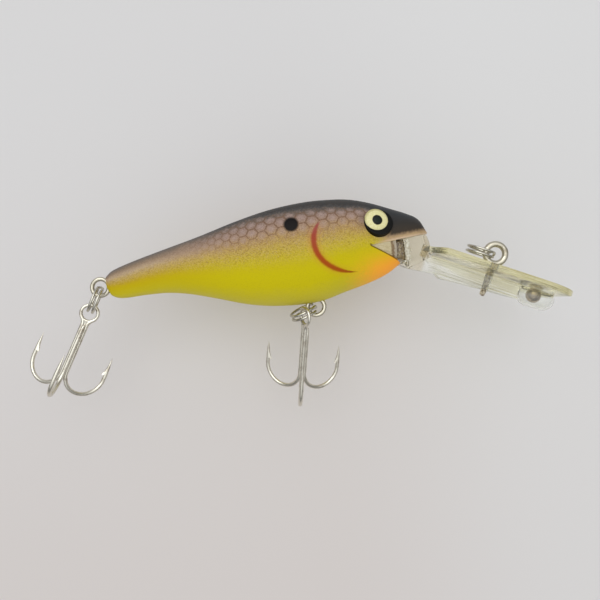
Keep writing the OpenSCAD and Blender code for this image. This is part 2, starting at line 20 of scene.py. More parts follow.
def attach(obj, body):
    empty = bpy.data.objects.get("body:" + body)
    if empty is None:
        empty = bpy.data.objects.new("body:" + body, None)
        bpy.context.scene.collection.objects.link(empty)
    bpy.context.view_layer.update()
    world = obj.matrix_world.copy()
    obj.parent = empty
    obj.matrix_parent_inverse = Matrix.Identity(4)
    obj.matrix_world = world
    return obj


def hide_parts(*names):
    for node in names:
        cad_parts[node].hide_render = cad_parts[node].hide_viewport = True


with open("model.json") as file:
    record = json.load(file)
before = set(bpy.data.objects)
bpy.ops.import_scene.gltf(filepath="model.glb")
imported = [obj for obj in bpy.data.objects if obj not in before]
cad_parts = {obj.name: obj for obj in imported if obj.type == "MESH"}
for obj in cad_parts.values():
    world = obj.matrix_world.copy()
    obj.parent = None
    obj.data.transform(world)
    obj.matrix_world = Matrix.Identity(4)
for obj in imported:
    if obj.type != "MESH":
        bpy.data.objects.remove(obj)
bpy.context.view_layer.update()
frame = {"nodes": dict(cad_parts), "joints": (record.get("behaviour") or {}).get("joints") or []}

LOG = logging.getLogger("lure")
MM = 0.001
WELD = 2e-6  # metres

Colour = tuple[float, float, float, float]
Stop = tuple[float, int, int, int]  # place on a ramp and display colour
Place = tuple[float, float]  # x and z of a place on the side view
MOUTH_CORNER: Place = (57.0, -1.05)
MOUTH_TOP: Place = (62.4, -0.72)


def tint(red: int, green: int, blue: int) -> Colour:
    """Turns a display colour into the linear colour that shaders take.

    Args:
        red, green, blue: eight-bit display values
    Returns:
        linear red, green, blue and a full alpha
    """
    line = np.array([red, green, blue]) / 255
    linear = np.where(line > 0.04045, ((line + 0.055) / 1.055) ** 2.4, line / 12.92)
    return (*linear.tolist(), 1.0)


class Flank(Enum):
    """Sides of the lure, as the sign of y."""

    RIGHT = -1.0
    LEFT = 1.0

    @property
    def side(self) -> str:
        """Word for this side in the names of nodes and pieces."""
        return self.name.lower()

    def piece(self, name: str, surface: "Surface", crease: float = 40.0) -> bpy.types.Object:
        """Piece on this side of a surface that is drawn on the left one."""
        return add_piece(name, surface if self is Flank.LEFT else surface.mirrored(), crease)


class Slot(Enum):
    """Names of the material slots of the record."""

    PAINT = "body_paint"
    LIP = "clear_lip"
    GLUE = "cured_glue"
    BALL = "ball_steel"
    WIRE = "wire_steel"
    RING = "ring_steel"
    CUP = "eye_black"
    IRIS = "eye_cream"
    HOOK = "hook_nickel"


# Shader arithmetic

class Sock:
    """Output of a shader node that takes part in arithmetic; each operation adds one Math node.

    Args:
        shader: tree that the socket belongs to
        socket: Blender's own socket
    """

    def __init__(self, shader: "Shader", socket: bpy.types.NodeSocket) -> None:
        """Keeps the tree and the socket."""
        self.shader = shader
        self.socket = socket

    def math(self, operation: str, *values: "Value") -> "Sock":
        """Adds a Math node over this socket and further values and returns its output."""
        inputs = dict(enumerate((self, *values)))
        return self.shader.node("ShaderNodeMath", {"operation": operation}, inputs)

    def __add__(self, other: "Value") -> "Sock":
        """Sum with a value."""
        return self.math("ADD", other)

    def __sub__(self, other: "Value") -> "Sock":
        """This less a value."""
        return self.math("SUBTRACT", other)

    def __rsub__(self, other: "Value") -> "Sock":
        """A value less this."""
        return self * -1.0 + other

    def __mul__(self, other: "Value") -> "Sock":
        """Product with a value."""
        return self.math("MULTIPLY", other)

    def __truediv__(self, other: "Value") -> "Sock":
        """This over a value."""
        return self.math("DIVIDE", other)

    def __pow__(self, other: "Value") -> "Sock":
        """This to a power."""
        return self.math("POWER", other)

    def __abs__(self) -> "Sock":
        """This without its sign."""
        return self.math("ABSOLUTE")

    __radd__, __rmul__ = __add__, __mul__

    def rise(self, low: float, high: float) -> "Sock":
        """Smooth step: 0 up to low, 1 from high on; low above high gives a fall."""
        inputs = {"Value": self, "From Min": low, "From Max": high}
        return self.shader.node("ShaderNodeMapRange", {"interpolation_type": "SMOOTHSTEP"}, inputs)


Value = Union[Sock, float]


def length(first: Sock, *others: Sock) -> Sock:
    """Length of the vector with the given parts."""
    return sum((part * part for part in others), first * first) ** 0.5


class Shader:
    """Node tree of one material, with a single method that adds any node."""

    def __init__(self, name: str) -> None:
        """Makes an empty material.

        Args:
            name: name of the material
        """
        self.material = bpy.data.materials.new(name)
        self.material.use_nodes = True
        self.tree = self.material.node_tree
        self.tree.nodes.clear()

    @classmethod
    def over(cls, tree: bpy.types.NodeTree) -> "Shader":
        """Shader over a node tree that isn't a material's.

        Args:
            tree: the node tree
        Returns:
            a shader without a material of its own
        """
        made = cls.__new__(cls)
        made.tree = tree
        return made

    def node(
        self,
        kind: str,
        settings: dict[str, Any] | None = None,
        inputs: dict[int | str, Any] | None = None,
        output: int | str = 0,
    ) -> Sock:
        """Adds a node: its settings first, then the values and links of its inputs.

        Args:
            kind: Blender's type name
            settings: attributes of the node; "stops" fills a colour ramp
            inputs: values or Socks by input number or name
            output: number or name of the output that is returned
        Returns:
            the chosen output
        """
        made = self.tree.nodes.new(kind)
        for key, value in (settings or {}).items():
            if key == "stops":
                self._fill_ramp(made.color_ramp, value)
            else:
                setattr(made, key, value)
        for key, value in (inputs or {}).items():
            if isinstance(value, Sock):
                self.tree.links.new(value.socket, made.inputs[key])
            else:
                made.inputs[key].default_value = value
        return Sock(self, made.outputs[output])

    @staticmethod
    def _fill_ramp(ramp: bpy.types.ColorRamp, stops: Sequence[Stop]) -> None:
        """Sets a ramp's stops, which start as two.

        Args:
            ramp: colour ramp of a new node
            stops: places and display colours from low to high
        """
        while len(ramp.elements) < len(stops):
            ramp.elements.new(0.5)
        for element, (place, *shade) in zip(ramp.elements, stops):
            element.position = place
            element.color = tint(*shade)

    def ramp(self, value: Sock, stops: Sequence[Stop]) -> Sock:
        """Colour along a ramp of given stops."""
        return self.node("ShaderNodeValToRGB", {"stops": stops}, {0: value})

    def blend(self, share: Value, first: Any, second: Any) -> Sock:
        """Colour between two colours, at the second where share is 1."""
        settings = {"data_type": "RGBA", "clamp_factor": True}
        return self.node("ShaderNodeMix", settings, {0: share, 6: first, 7: second}, output=2)

    def coordinates(self) -> Sock:
        """Object coordinates in metres."""
        return self.node("ShaderNodeTexCoord", output="Object")

    def parts(self, vector: Sock) -> list[Sock]:
        """The three parts of a vector."""
        return [self.node("ShaderNodeSeparateXYZ", inputs={0: vector}, output=axis) for axis in range(3)]

    def place(self) -> tuple[Sock, Sock, Sock, Sock]:
        """Object coordinates as a vector and in the body's measure.

        Returns:
            the vector in metres, then body x, y and z in millimetres
        """
        vector = self.coordinates()
        x, y, z = (part / MM + float(shift) for part, shift in zip(self.parts(vector), MEASURES.tie_eye))
        return vector, x, y, z

    def noise(self, vector: Sock, grain: float, detail: float = 2.0) -> Sock:
        """Noise about 0.5 over object coordinates.

        Args:
            vector: coordinates in metres
            grain: size of a feature in millimetres
            detail: number of finer octaves
        Returns:
            values from 0 to 1
        """
        inputs = {"Vector": vector, "Scale": 1 / (grain * MM), "Detail": detail, "Roughness": 0.55}
        return self.node("ShaderNodeTexNoise", inputs=inputs)

    def bump(self, height: Sock, depth: float, strength: float = 1.0) -> Sock:
        """Normal of a height map.

        Args:
            height: heights from 0 to 1
            depth: millimetres between 0 and 1
            strength: share of the effect
        Returns:
            the bent normal
        """
        inputs = {"Height": height, "Distance": depth * MM, "Strength": strength}
        return self.node("ShaderNodeBump", inputs=inputs)

    def principled(self, **inputs: Any) -> Sock:
        """Principled surface; input names have an underscore for each blank."""
        named = {key.replace("_", " "): value for key, value in inputs.items()}
        return self.node("ShaderNodeBsdfPrincipled", inputs=named)

    def finish(self, surface: Sock, volume: Sock | None = None) -> bpy.types.Material:
        """Links the surface and, if given, the volume to the output.

        Args:
            surface: shader of the skin
            volume: shader of the inside
        Returns:
            the finished material
        """
        inputs = {"Surface": surface}
        if volume is not None:
            inputs["Volume"] = volume
        made = self.tree.nodes.new("ShaderNodeOutputMaterial")
        for key, value in inputs.items():
            self.tree.links.new(value.socket, made.inputs[key])
        return self.material


# Measures and forms

@dataclass(frozen=True)
class Measures:
    """Driving dimensions that several pieces share, in millimetres and degrees."""

    body_len: float = 70.0
    body_depth: float = 21.8
    body_width: float = 15.5
    lip_slope: float = 27.2
    lip_start: tuple[float, float] = (70.0, -3.3)
    tie_reach: float = 14.3
    tie_height: float = 3.55
    hanger_wire: float = 0.95
    hanger_r: float = 1.825
    ring_r: float = 2.875
    ring_wire: float = 0.55

    @property
    def lip_turn(self) -> np.ndarray:
        """Rotation from the lip's frame to the body's."""
        return turn("Y", self.lip_slope)

    @property
    def tie_eye(self) -> np.ndarray:
        """Centre of the line tie's eye in the body's measure."""
        start = np.array([self.lip_start[0], 0.0, self.lip_start[1]])
        return start + self.lip_turn @ np.array([self.tie_reach, 0.0, self.tie_height])


def turn(axis: str, degrees: float) -> np.ndarray:
    """Rotation matrix about a main axis."""
    return np.array(Matrix.Rotation(math.radians(degrees), 3, axis))


MEASURES = Measures()
AHEAD, LEFTWARD = np.array([1.0, 0.0, 0.0]), np.array([0.0, 1.0, 0.0])


def joint_place(name: str) -> np.ndarray:
    """Place of a joint of the frame in the body's measure."""
    found = next(joint for joint in frame["joints"] if joint["name"] == name)
    return np.array(found["pos_m"]) / MM + MEASURES.tie_eye


def unit(vectors: np.ndarray) -> np.ndarray:
    """Vectors along the last axis at length one."""
    return vectors / np.linalg.norm(vectors, axis=-1, keepdims=True)


def ease(share: np.ndarray) -> np.ndarray:
    """Smooth step of a share held between 0 and 1."""
    held = np.clip(share, 0, 1)
    return held * held * (3 - 2 * held)


def around(count: int) -> np.ndarray:
    """Evenly spaced angles of a full turn."""
    return np.linspace(0, 2 * np.pi, count, endpoint=False)


def joined(x: np.ndarray, y: np.ndarray, z: np.ndarray) -> np.ndarray:
    """Points of three arrays of coordinates."""
    return np.stack(np.broadcast_arrays(x, y, z), axis=-1)


def rays(path: np.ndarray, reference: np.ndarray, sides: int) -> np.ndarray:
    """Directions square to a path, by row and side.

    The first direction is the reference less its share along the path, and the second is the cross product
    of the path's direction with the first, so the rows don't twist against each other.

    Args:
        path: points, one row each
        reference: direction at each point, roughly across the path, or one for all points
        sides: directions at each point
    Returns:
        unit vectors by row and side
    """
    ahead = unit(np.gradient(path, axis=0))
    first = unit(reference - np.sum(reference * ahead, axis=1, keepdims=True) * ahead)
    second = np.cross(ahead, first)
    angle = around(sides)[None, :, None]
    return np.cos(angle) * first[:, None] + np.sin(angle) * second[:, None]


@dataclass
class Surface:
    """Points in the body's measure and the faces over them, before they become a mesh."""

    points: np.ndarray
    faces: list[list[int]]

    def __add__(self, other: "Surface") -> "Surface":
        """Both surfaces as one.

        Args:
            other: surface whose points follow this one's
        Returns:
            the joined surface
        """
        shift = len(self.points)
        faces = self.faces + [[index + shift for index in face] for face in other.faces]
        return Surface(np.concatenate([self.points, other.points]), faces)

    def placed(self, matrix: np.ndarray, at: np.ndarray) -> "Surface":
        """The surface turned by a matrix and moved."""
        return Surface(self.points @ matrix.T + at, self.faces)

    def mirrored(self) -> "Surface":
        """The surface on the other flank."""
        return Surface(self.points * np.array([1, -1, 1]), [face[::-1] for face in self.faces])


def quads(rows: int, cols: int, wrap: bool) -> list[list[int]]:
    """Faces of a grid of points: each joins two neighbours of a row with the two below them.

    Args:
        rows, cols: size of the grid
        wrap: whether the last column joins the first
    Returns:
        four point numbers for each face
    """
    row = np.arange(rows - 1)[:, None] * cols
    here = np.arange(cols if wrap else cols - 1)[None, :]
    there = (here + 1) % cols
    corners = [row + here, row + there, row + cols + there, row + cols + here]
    return np.stack(corners, axis=-1).reshape(-1, 4).tolist()


def fan(centre: int, ring: np.ndarray) -> list[list[int]]:
    """Triangles from a centre point to each side of a closed ring."""
    return np.stack([np.full(len(ring), centre), ring, np.roll(ring, -1)], axis=-1).tolist()


def tube(
    path: np.ndarray, radii: np.ndarray | float, reference: np.ndarray, sides: int,
    swell: np.ndarray | float = 0.0,
) -> Surface:
    """Wire carried along a path: at each path point a circle squared to the path, closed at both ends.

    Args:
        path: points, one row each
        radii: radius at each point, or one for all points
        reference: direction at each point, roughly across the path, or one for all points
        sides: points round each circle
        swell: further radius by row and side
    Returns:
        the closed surface
    """
    out = rays(path, reference, sides)
    reach = np.broadcast_to(np.broadcast_to(radii, len(path))[:, None] + swell, out.shape[:2])
    points = (path[:, None] + reach[..., None] * out).reshape(-1, 3)
    ring = np.arange(sides)
    last = (len(path) - 1) * sides
    faces = quads(len(path), sides, True) + fan(len(points), ring[::-1]) + fan(len(points) + 1, last + ring)
    return Surface(np.concatenate([points, path[:1], path[-1:]]), faces)


def hoop(radius: float, wire: float, steps: int = 96, sides: int = 28) -> Surface:
    """Wire circle about the Y axis: a circle of the wire's radius carried round one of the eye's radius.

    Args:
        radius: radius of the eye's middle line
        wire: diameter of the wire
        steps: points round the eye
        sides: points round the wire
    Returns:
        the closed surface
    """
    a, b = around(steps)[:, None], around(sides)[None, :]
    reach = radius + wire / 2 * np.cos(b)
    points = joined(reach * np.cos(a), wire / 2 * np.sin(b), reach * np.sin(a))
    faces = np.array(quads(steps + 1, sides, True)) % (steps * sides)
    return Surface(points.reshape(-1, 3), faces.tolist())


def revolved(profile: np.ndarray, sides: int) -> Surface:
    """Profile turned about the Z axis, with its two ends closed on the axis.

    Args:
        profile: rows of radius and height
        sides: points of a full turn
    Returns:
        the closed surface
    """
    angle = around(sides)[None, :]
    radius, height = profile[:, :1], profile[:, 1:]
    grid = joined(radius * np.cos(angle), radius * np.sin(angle), height)
    ends = np.array([[0, 0, profile[0, 1]], [0, 0, profile[-1, 1]]])
    ring = np.arange(sides)
    count = len(profile) * sides
    faces = quads(len(profile), sides, True) + fan(count, ring[::-1]) + fan(count + 1, count - sides + ring)
    return Surface(np.concatenate([grid.reshape(-1, 3), ends]), faces)


def prism(outline: np.ndarray, near: float, far: float) -> Surface:
    """Side outline made solid from one y to another.

    Args:
        outline: rows of x and z, clockwise seen from -Y
        near, far: y of the two ends
    Returns:
        the closed surface
    """
    count = len(outline)
    front, back = (joined(outline[:, 0], y, outline[:, 1]) for y in (near, far))
    ring = np.arange(count)
    after = np.roll(ring, -1)
    sides = np.stack([ring, after, after + count, ring + count], axis=-1).tolist()
    return Surface(np.concatenate([front, back]), [ring[::-1].tolist(), (ring + count).tolist()] + sides)


def linked(name: str, data: bpy.types.ID) -> bpy.types.Object:
    """New object of the scene.

    Args:
        name: name of the object
        data: mesh, light or camera that it shows
    Returns:
        the new object
    """
    made = bpy.data.objects.new(name, data)
    bpy.context.scene.collection.objects.link(made)
    return made


def add_piece(name: str, surface: Surface, crease: float = 40.0) -> bpy.types.Object:
    """Makes a mesh object of a surface in the lure's frame.

    Args:
        name: name of the piece
        surface: points and faces
        crease: edges sharper than this, in degrees, stay sharp
    Returns:
        the new piece
    """
    mesh = bpy.data.meshes.new(name)
    mesh.from_pydata(((surface.points - MEASURES.tie_eye) * MM).tolist(), [], surface.faces)
    mesh.validate()
    piece = linked(name, mesh)
    smooth(piece, crease)
    LOG.info("%s: %d points, %d faces", name, len(mesh.vertices), len(mesh.polygons))
    return piece


def smooth(piece: bpy.types.Object, crease: float) -> None:
    """Shades a piece smooth but for edges sharper than the crease, in degrees."""
    piece.data.polygons.foreach_set("use_smooth", np.ones(len(piece.data.polygons), dtype=bool))
    piece.data.set_sharp_from_angle(angle=math.radians(crease))


def bake_modifiers(piece: bpy.types.Object) -> None:
    """Replaces a piece's mesh by the result of its modifiers.

    Args:
        piece: piece with live modifiers
    """
    graph = bpy.context.evaluated_depsgraph_get()
    old = piece.data
    piece.data = bpy.data.meshes.new_from_object(piece.evaluated_get(graph))
    piece.modifiers.clear()
    bpy.data.meshes.remove(old)


def carve(piece: bpy.types.Object, cutter: bpy.types.Object) -> None:
    """Cuts one closed piece out of another and removes the cutter.

    Args:
        piece: piece that is cut
        cutter: piece that is taken away
    """
    cut = piece.modifiers.new("cut", "BOOLEAN")
    cut.operation = "DIFFERENCE"
    cut.solver = "EXACT"
    cut.object = cutter
    bake_modifiers(piece)
    bpy.data.objects.remove(cutter)


def refined(node: str, name: str, edge: float, crease: float = 35.0) -> bpy.types.Object:
    """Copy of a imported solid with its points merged, its edges rounded and its faces shaded smooth.

    Args:
        node: node of the frame
        name: name of the new piece
        edge: radius of the rounded edges in millimetres, 0 for none
        crease: edges sharper than this, in degrees, are rounded or kept sharp
    Returns:
        the new piece, which doesn't ride a body yet
    """
    source = frame["nodes"][node]
    piece = linked(name, source.data.copy())
    piece.data.materials.clear()
    weld = piece.modifiers.new("weld", "WELD")
    weld.merge_threshold = WELD
    if edge > 0:
        bevel = piece.modifiers.new("edge", "BEVEL")
        bevel.width = edge * MM
        bevel.segments = 3
        bevel.limit_method = "ANGLE"
        bevel.angle_limit = math.radians(crease)
        bevel.use_clamp_overlap = True
    bake_modifiers(piece)
    smooth(piece, crease)
    LOG.info("%s: %d points from %s", name, len(piece.data.vertices), node)
    return piece


def settle(piece: bpy.types.Object, body: str, nodes: Sequence[str]) -> None:
    """Hands a finished piece to the frame.

    Args:
        piece: piece in its place
        body: body that it rides
        nodes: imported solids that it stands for
    """
    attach(piece, body)
    if nodes:
        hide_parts(*nodes)


def coat(piece: bpy.types.Object, *materials: bpy.types.Material) -> None:
    """Gives a piece its materials; its faces keep their slot numbers.

    Args:
        piece: piece to coat
        materials: materials in slot order
    """
    faces = piece.data.polygons
    kept = np.empty(len(faces), dtype=np.int32)
    faces.foreach_get("material_index", kept)
    piece.data.materials.clear()
    for material in materials:
        piece.data.materials.append(material)
    faces.foreach_set("material_index", kept)


def vectors(items: bpy.types.bpy_prop_collection, key: str) -> np.ndarray:
    """Places of a mesh's points or faces.

    Args:
        items: points or faces of the mesh
        key: attribute that holds the place
    Returns:
        places in the body's measure, one row each
    """
    flat = np.empty(len(items) * 3)
    items.foreach_get(key, flat)
    return flat.reshape(-1, 3) / MM + MEASURES.tie_eye


@dataclass(frozen=True)
class BodyForm:
    """Outlines of the moulded body: percent of its length against percent of its depth or half width."""

    back: tuple = (
        (0, 7.5), (2, 12), (8, 17.5), (18, 24.3), (30, 32), (42, 41), (53, 47.3), (64, 49.5),
        (72, 48), (78, 45), (84, 38.6), (90, 29.8), (95, 22), (98, 15), (100, 2),
    )
    belly: tuple = (
        (0, -6.5), (1, -12.5), (4, -16.3), (11, -16.8), (18, -18.2), (25, -23), (33, -31.5), (42, -41.7),
        (50, -47.6), (60, -50.6), (66, -49.5), (72, -45.2), (80, -39.8), (86, -33.8), (90.5, -25.8),
        (95, -16), (98.5, -6), (100, -1),
    )
    flank: tuple = (
        (0, 13), (1.5, 22), (8, 34), (18, 50), (30, 71), (42, 89), (54, 98), (64, 100),
        (74, 96), (82, 88), (90, 74), (95, 59), (98, 43), (100, 17),
    )
    widest: float = 0.52
    fullness: float = 0.9
    deepest: float = 0.64

    @staticmethod
    def curve(line: tuple, x: np.ndarray) -> np.ndarray:
        """Cubic through given points, whose slope at a point is that between its two neighbours.

        Args:
            line: pairs of percent along the body and percent across it
            x: distances from the tail
        Returns:
            percent across at each distance
        """
        at, height = np.array(line, dtype=float).T
        ahead, behind = np.append(np.arange(1, len(at)), len(at) - 1), np.maximum(np.arange(len(at)) - 1, 0)
        slope = (height[ahead] - height[behind]) / (at[ahead] - at[behind])
        percent = 100 * x / MEASURES.body_len
        i = np.clip(np.searchsorted(at, percent) - 1, 0, len(at) - 2)
        width = at[i + 1] - at[i]
        f = (percent - at[i]) / width
        g = 1 - f
        return (
            height[i] * g * g * (1 + 2 * f) + height[i + 1] * f * f * (1 + 2 * g)
            + width * f * g * (slope[i] * g - slope[i + 1] * f)
        )

    def edges(self, x: np.ndarray) -> tuple[np.ndarray, np.ndarray, np.ndarray]:
        """Outlines of the body as read from the three curves.

        Args:
            x: distances from the tail
        Returns:
            back height, belly height and half width
        """
        depth, half = MEASURES.body_depth / 100, MEASURES.body_width / 200
        lines = ((self.back, depth), (self.belly, depth), (self.flank, half))
        return tuple(self.curve(line, x) * scale for line, scale in lines)

    def skin(self, x: np.ndarray, t: np.ndarray, sunk: float) -> np.ndarray:
        """Points of the left flank.

        The height follows the cosine of t from the back through the widest level to the belly, and the width
        is the half width times the sine of t to the power of the fullness.

        Args:
            x: distance from the tail
            t: angle down from the back
            sunk: depth below the skin
        Returns:
            points along the last axis
        """
        top, low, half = self.edges(x)
        top, low, half = top - sunk, low + sunk, np.maximum(half - sunk, 0.2)
        level = low + self.widest * (top - low)
        rise = np.where(np.cos(t) > 0, top - level, level - low)
        y = half * np.abs(np.sin(t)) ** self.fullness
        return joined(x, y, level + rise * np.cos(t))

    def angle(self, x: np.ndarray, z: np.ndarray) -> np.ndarray:
        """Angle down from the back: the arc cosine of height over reach, both from the widest level.

        Args:
            x, z: places on the side view
        Returns:
            angles from 0 at the back to half a turn at the belly
        """
        top, low, _ = self.edges(x)
        level = low + self.widest * (top - low)
        rise = np.where(z > level, top - level, level - low)
        return np.arccos(np.clip((z - level) / np.maximum(rise, 0.1), -1, 1))

    def width(self, x: np.ndarray, z: np.ndarray) -> np.ndarray:
        """Distance of the skin from the middle plane at places on the side view."""
        return self.edges(x)[2] * np.abs(np.sin(self.angle(x, z))) ** self.fullness

    def half(
        self, stations: int, rows: int, sunk: float = 0.0,
        span: tuple[float, float] = (0.0, MEASURES.body_len),
    ) -> Surface:
        """Closed left half: the skin as a grid, close-set at both ends and edges, with a flat seam.

        Args:
            stations: rows of points along the body
            rows: points of each row from the back to the belly
            sunk: depth below the skin in millimetres
            span: first and last distance from the tail
        Returns:
            the closed surface
        """
        bunched = [(1 - np.cos(np.linspace(0, np.pi, count))) / 2 for count in (stations, rows)]
        x = span[0] + (span[1] - span[0]) * bunched[0][:, None]
        t = np.pi * bunched[1][None, :]
        points = self.skin(x, t, sunk)
        points[:, (0, -1), 1] = 0.0
        row = np.arange(stations - 1) * rows
        seam = np.stack([row, row + rows, row + 2 * rows - 1, row + rows - 1], axis=-1).tolist()
        ends = [np.arange(rows)[::-1].tolist(), ((stations - 1) * rows + np.arange(rows)).tolist()]
        faces = [face[::-1] for face in quads(stations, rows, False)]
        return Surface(points.reshape(-1, 3), [face[::-1] for face in seam + ends] + faces)

    def pattern(self, points: np.ndarray) -> np.ndarray:
        """Pattern coordinates of points on the skin, in widths of the local depth.

        Along the body it is the length summed in local depths, across it the arc from the back in local
        depths, and third the height as a share of the depth, so that scales shrink towards the tail.

        Args:
            points: points on the skin, one row each
        Returns:
            along, across and share of the depth, one row each
        """
        x = np.linspace(0, MEASURES.body_len, 400)
        top, low, _ = self.edges(x)
        along = np.interp(points[:, 0], x, np.cumsum(np.gradient(x) / (top - low)))
        t = np.linspace(0, np.pi, 200)
        section = self.skin(np.full_like(t, self.deepest * MEASURES.body_len), t, 0.0)
        arc = np.append(0, np.cumsum(np.linalg.norm(np.diff(section, axis=0), axis=1))) / MEASURES.body_depth
        held = np.clip(points[:, 0], 0, MEASURES.body_len)
        across = np.interp(self.angle(held, points[:, 2]), t, arc)
        top, low, _ = self.edges(held)
        return np.stack([along, across, (points[:, 2] - low) / (top - low)], axis=-1)


FORM = BodyForm()


# Finishes

@dataclass(frozen=True)
class PaintedSkin:
    """Places on the flank and noises that the layers of the paint share."""

    shader: Shader
    vector: Sock
    x: Sock
    z: Sock
    share: Sock
    height: Sock
    cloud: Sock
    grain: Sock


@dataclass(frozen=True)
class ShadPaint:
    """Airbrushed shad pattern: yellow belly, netted tan flank, dark back, gill arc, spot, orange throat, with
    a painted sheen on the nose and painted shade along the mouth's step.
    """

    corner: Place = MOUTH_CORNER
    mouth_top: Place = MOUTH_TOP
    mouth_rise: float = 0.066
    jaw_normal: Place = (0.553, 0.833)
    gill_at: Place = (54.0, 1.0)
    gill_axes: Place = (8.6, 7.0)
    gill_mean: float = 7.6
    spot_at: Place = (41.36, 5.71)
    spot_r: float = 1.55
    eye_at: Place = (59.3, 3.6)
    scale_size: float = 0.115

    def net(self, u: Sock, v: Sock) -> tuple[Sock, Sock]:
        """Hexagonal scales: distance to the cell's edge and to its centre, in cells.

        Of the two rectangular lattices that make up the hexagonal one, each point takes its nearest centre;
        the distance to the edge is half a cell less the greater of the height and the slanted reach from it.

        Args:
            u, v: pattern coordinates along and across the flank
        Returns:
            distance to the edge and distance to the centre
        """
        wide = math.sqrt(3)
        offsets = []
        for shift in (0.0, 0.5):
            a = u / self.scale_size - shift * wide
            b = v / self.scale_size - shift
            dx = a - (a / wide).math("ROUND") * wide
            dy = b - b.math("ROUND")
            offsets.append((dx, dy, dx * dx + dy * dy))
        nearer = offsets[0][2].math("LESS_THAN", offsets[1][2])
        other = 1.0 - nearer
        dx = abs(offsets[0][0] * nearer + offsets[1][0] * other)
        dy = abs(offsets[0][1] * nearer + offsets[1][1] * other)
        reach = dy.math("MAXIMUM", dx * (wide / 2) + dy * 0.5)
        return 0.5 - reach, length(dx, dy)

    @staticmethod
    def specks(shader: Shader, vector: Sock, spacing: float, reach: float) -> Sock:
        """Spattered dots: one about each point of a random lattice, with a radius by chance.

        Args:
            shader: tree that takes the nodes
            vector: coordinates in metres
            spacing: millimetres between the points
            reach: greatest radius in spacings; the least is none
        Returns:
            1 in the dots and 0 between them
        """
        inputs = {"Vector": vector, "Scale": 1 / (spacing * MM)}
        distance = shader.node("ShaderNodeTexVoronoi", inputs=inputs, output="Distance")
        cell = shader.node("ShaderNodeTexVoronoi", inputs=inputs, output="Color")
        chance = shader.node("ShaderNodeSeparateColor", inputs={0: cell})
        return (chance * reach - distance).rise(0.0, 0.12)

    @staticmethod
    def _ground(skin: PaintedSkin) -> Sock:
        """Ground colour from the belly to the back, with a softer back behind.

        Args:
            skin: what the layers share
        Returns:
            the colour
        """
        s, x, height = skin.shader, skin.x, skin.height
        front = s.ramp(height, (
            (0.0, 194, 181, 62), (0.10, 194, 180, 40), (0.20, 198, 183, 10),
            (0.32, 200, 185, 6), (0.40, 198, 181, 16), (0.46, 196, 177, 36),
            (0.52, 192, 169, 54), (0.58, 187, 160, 74), (0.64, 178, 147, 86),
            (0.70, 168, 136, 98), (0.78, 158, 130, 110), (0.86, 145, 121, 107),
            (0.915, 118, 103, 92), (0.965, 80, 77, 75), (1.0, 60, 59, 58),
        ))
        rear = s.ramp(height, (
            (0.0, 194, 180, 66), (0.12, 194, 178, 30), (0.30, 192, 170, 10),
            (0.40, 190, 163, 24), (0.46, 186, 157, 48), (0.58, 186, 158, 88),
            (0.70, 182, 158, 126), (0.76, 170, 146, 120), (0.82, 150, 128, 104),
            (0.88, 134, 116, 98), (0.94, 120, 108, 98), (1.0, 98, 92, 86),
        ))
        return s.blend(x.rise(32.0, 6.0), front, rear)

    def _spatter(self, skin: PaintedSkin, colour: Sock) -> Sock:
        """Spatter where yellow turns tan, dark dust and pale frost.

        Args:
            skin: what the layers share
            colour: layers below
        Returns:
            the colour with these layers
        """
        s, vector, x, share, height = skin.shader, skin.vector, skin.x, skin.share, skin.height
        tan = share.rise(0.34, 0.60)
        mottle = s.noise(vector, 0.30, 2.0)
        gold = share.rise(0.34, 0.52) * share.rise(0.82, 0.62)
        colour = s.blend(gold * mottle.rise(0.52, 0.66) * 0.38, colour, tint(146, 108, 34))
        colour = s.blend(gold * mottle.rise(0.48, 0.36) * 0.26, colour, tint(216, 184, 100))
        dust = self.specks(s, vector, 0.2, 0.62)
        dusty = (tan * 0.26 + 0.08) * (x.rise(8.0, 34.0) * 0.5 + 0.5)
        colour = s.blend(dust * dusty, colour, tint(86, 60, 40))
        frost = self.specks(s, vector, 0.18, 0.56)
        return s.blend(frost * tan * height.rise(0.94, 0.82) * 0.18, colour, tint(222, 204, 190))

    def _head(self, skin: PaintedSkin, colour: Sock) -> Sock:
        """Haze round the eye, throat, jaw, nose with a painted sheen on its top, and the mouth's dark paint
        edge with painted shade along it.

        Args:
            skin: what the layers share
            colour: layers below
        Returns:
            the colour with these layers
        """
        s, x, z, share = skin.shader, skin.x, skin.z, skin.share
        height, cloud, grain = skin.height, skin.cloud, skin.grain
        from_eye = length(x - self.eye_at[0], z - self.eye_at[1]) + grain * 1.5
        haze = from_eye.rise(5.4, 2.8) * share.rise(0.56, 0.74) * height.rise(0.90, 0.78)
        colour = s.blend(haze * 0.55, colour, tint(110, 94, 88))
        lift = z - self.mouth_top[1] - (x - self.mouth_top[0]) * self.mouth_rise
        throat = (x + grain * 4.0).rise(49.0, 60.5) * lift.rise(0.0, -0.5)
        throat = throat * (share + cloud * 0.1).rise(0.42, 0.08)
        colour = s.blend(throat * 0.94, colour, tint(255, 166, 54))
        jaw = (x + grain * 2.0).rise(57.0, 61.5) * lift.rise(-0.1, 0.1) * lift.rise(4.5, 2.5)
        colour = s.blend(jaw * 0.92, colour, tint(184, 154, 122))
        colour = s.blend(jaw * (lift + grain * 0.3).rise(0.5, 0.15) * 0.85, colour, tint(208, 182, 154))
        nose = (x + grain * 1.6 + (share - 0.6) * 6.0).rise(58.6, 61.8) * (lift + grain * 0.8).rise(0.4, 1.5)
        # charcoal paint of the nose; lighter and bluer towards the top as a painted sheen from above
        charcoal_and_sheen = s.ramp(share + cloud * 0.1, (
            (0.50, 54, 48, 42), (0.70, 42, 44, 45), (0.88, 52, 54, 56), (1.0, 62, 62, 63),
        ))
        colour = s.blend(nose * 0.96, colour, charcoal_and_sheen)
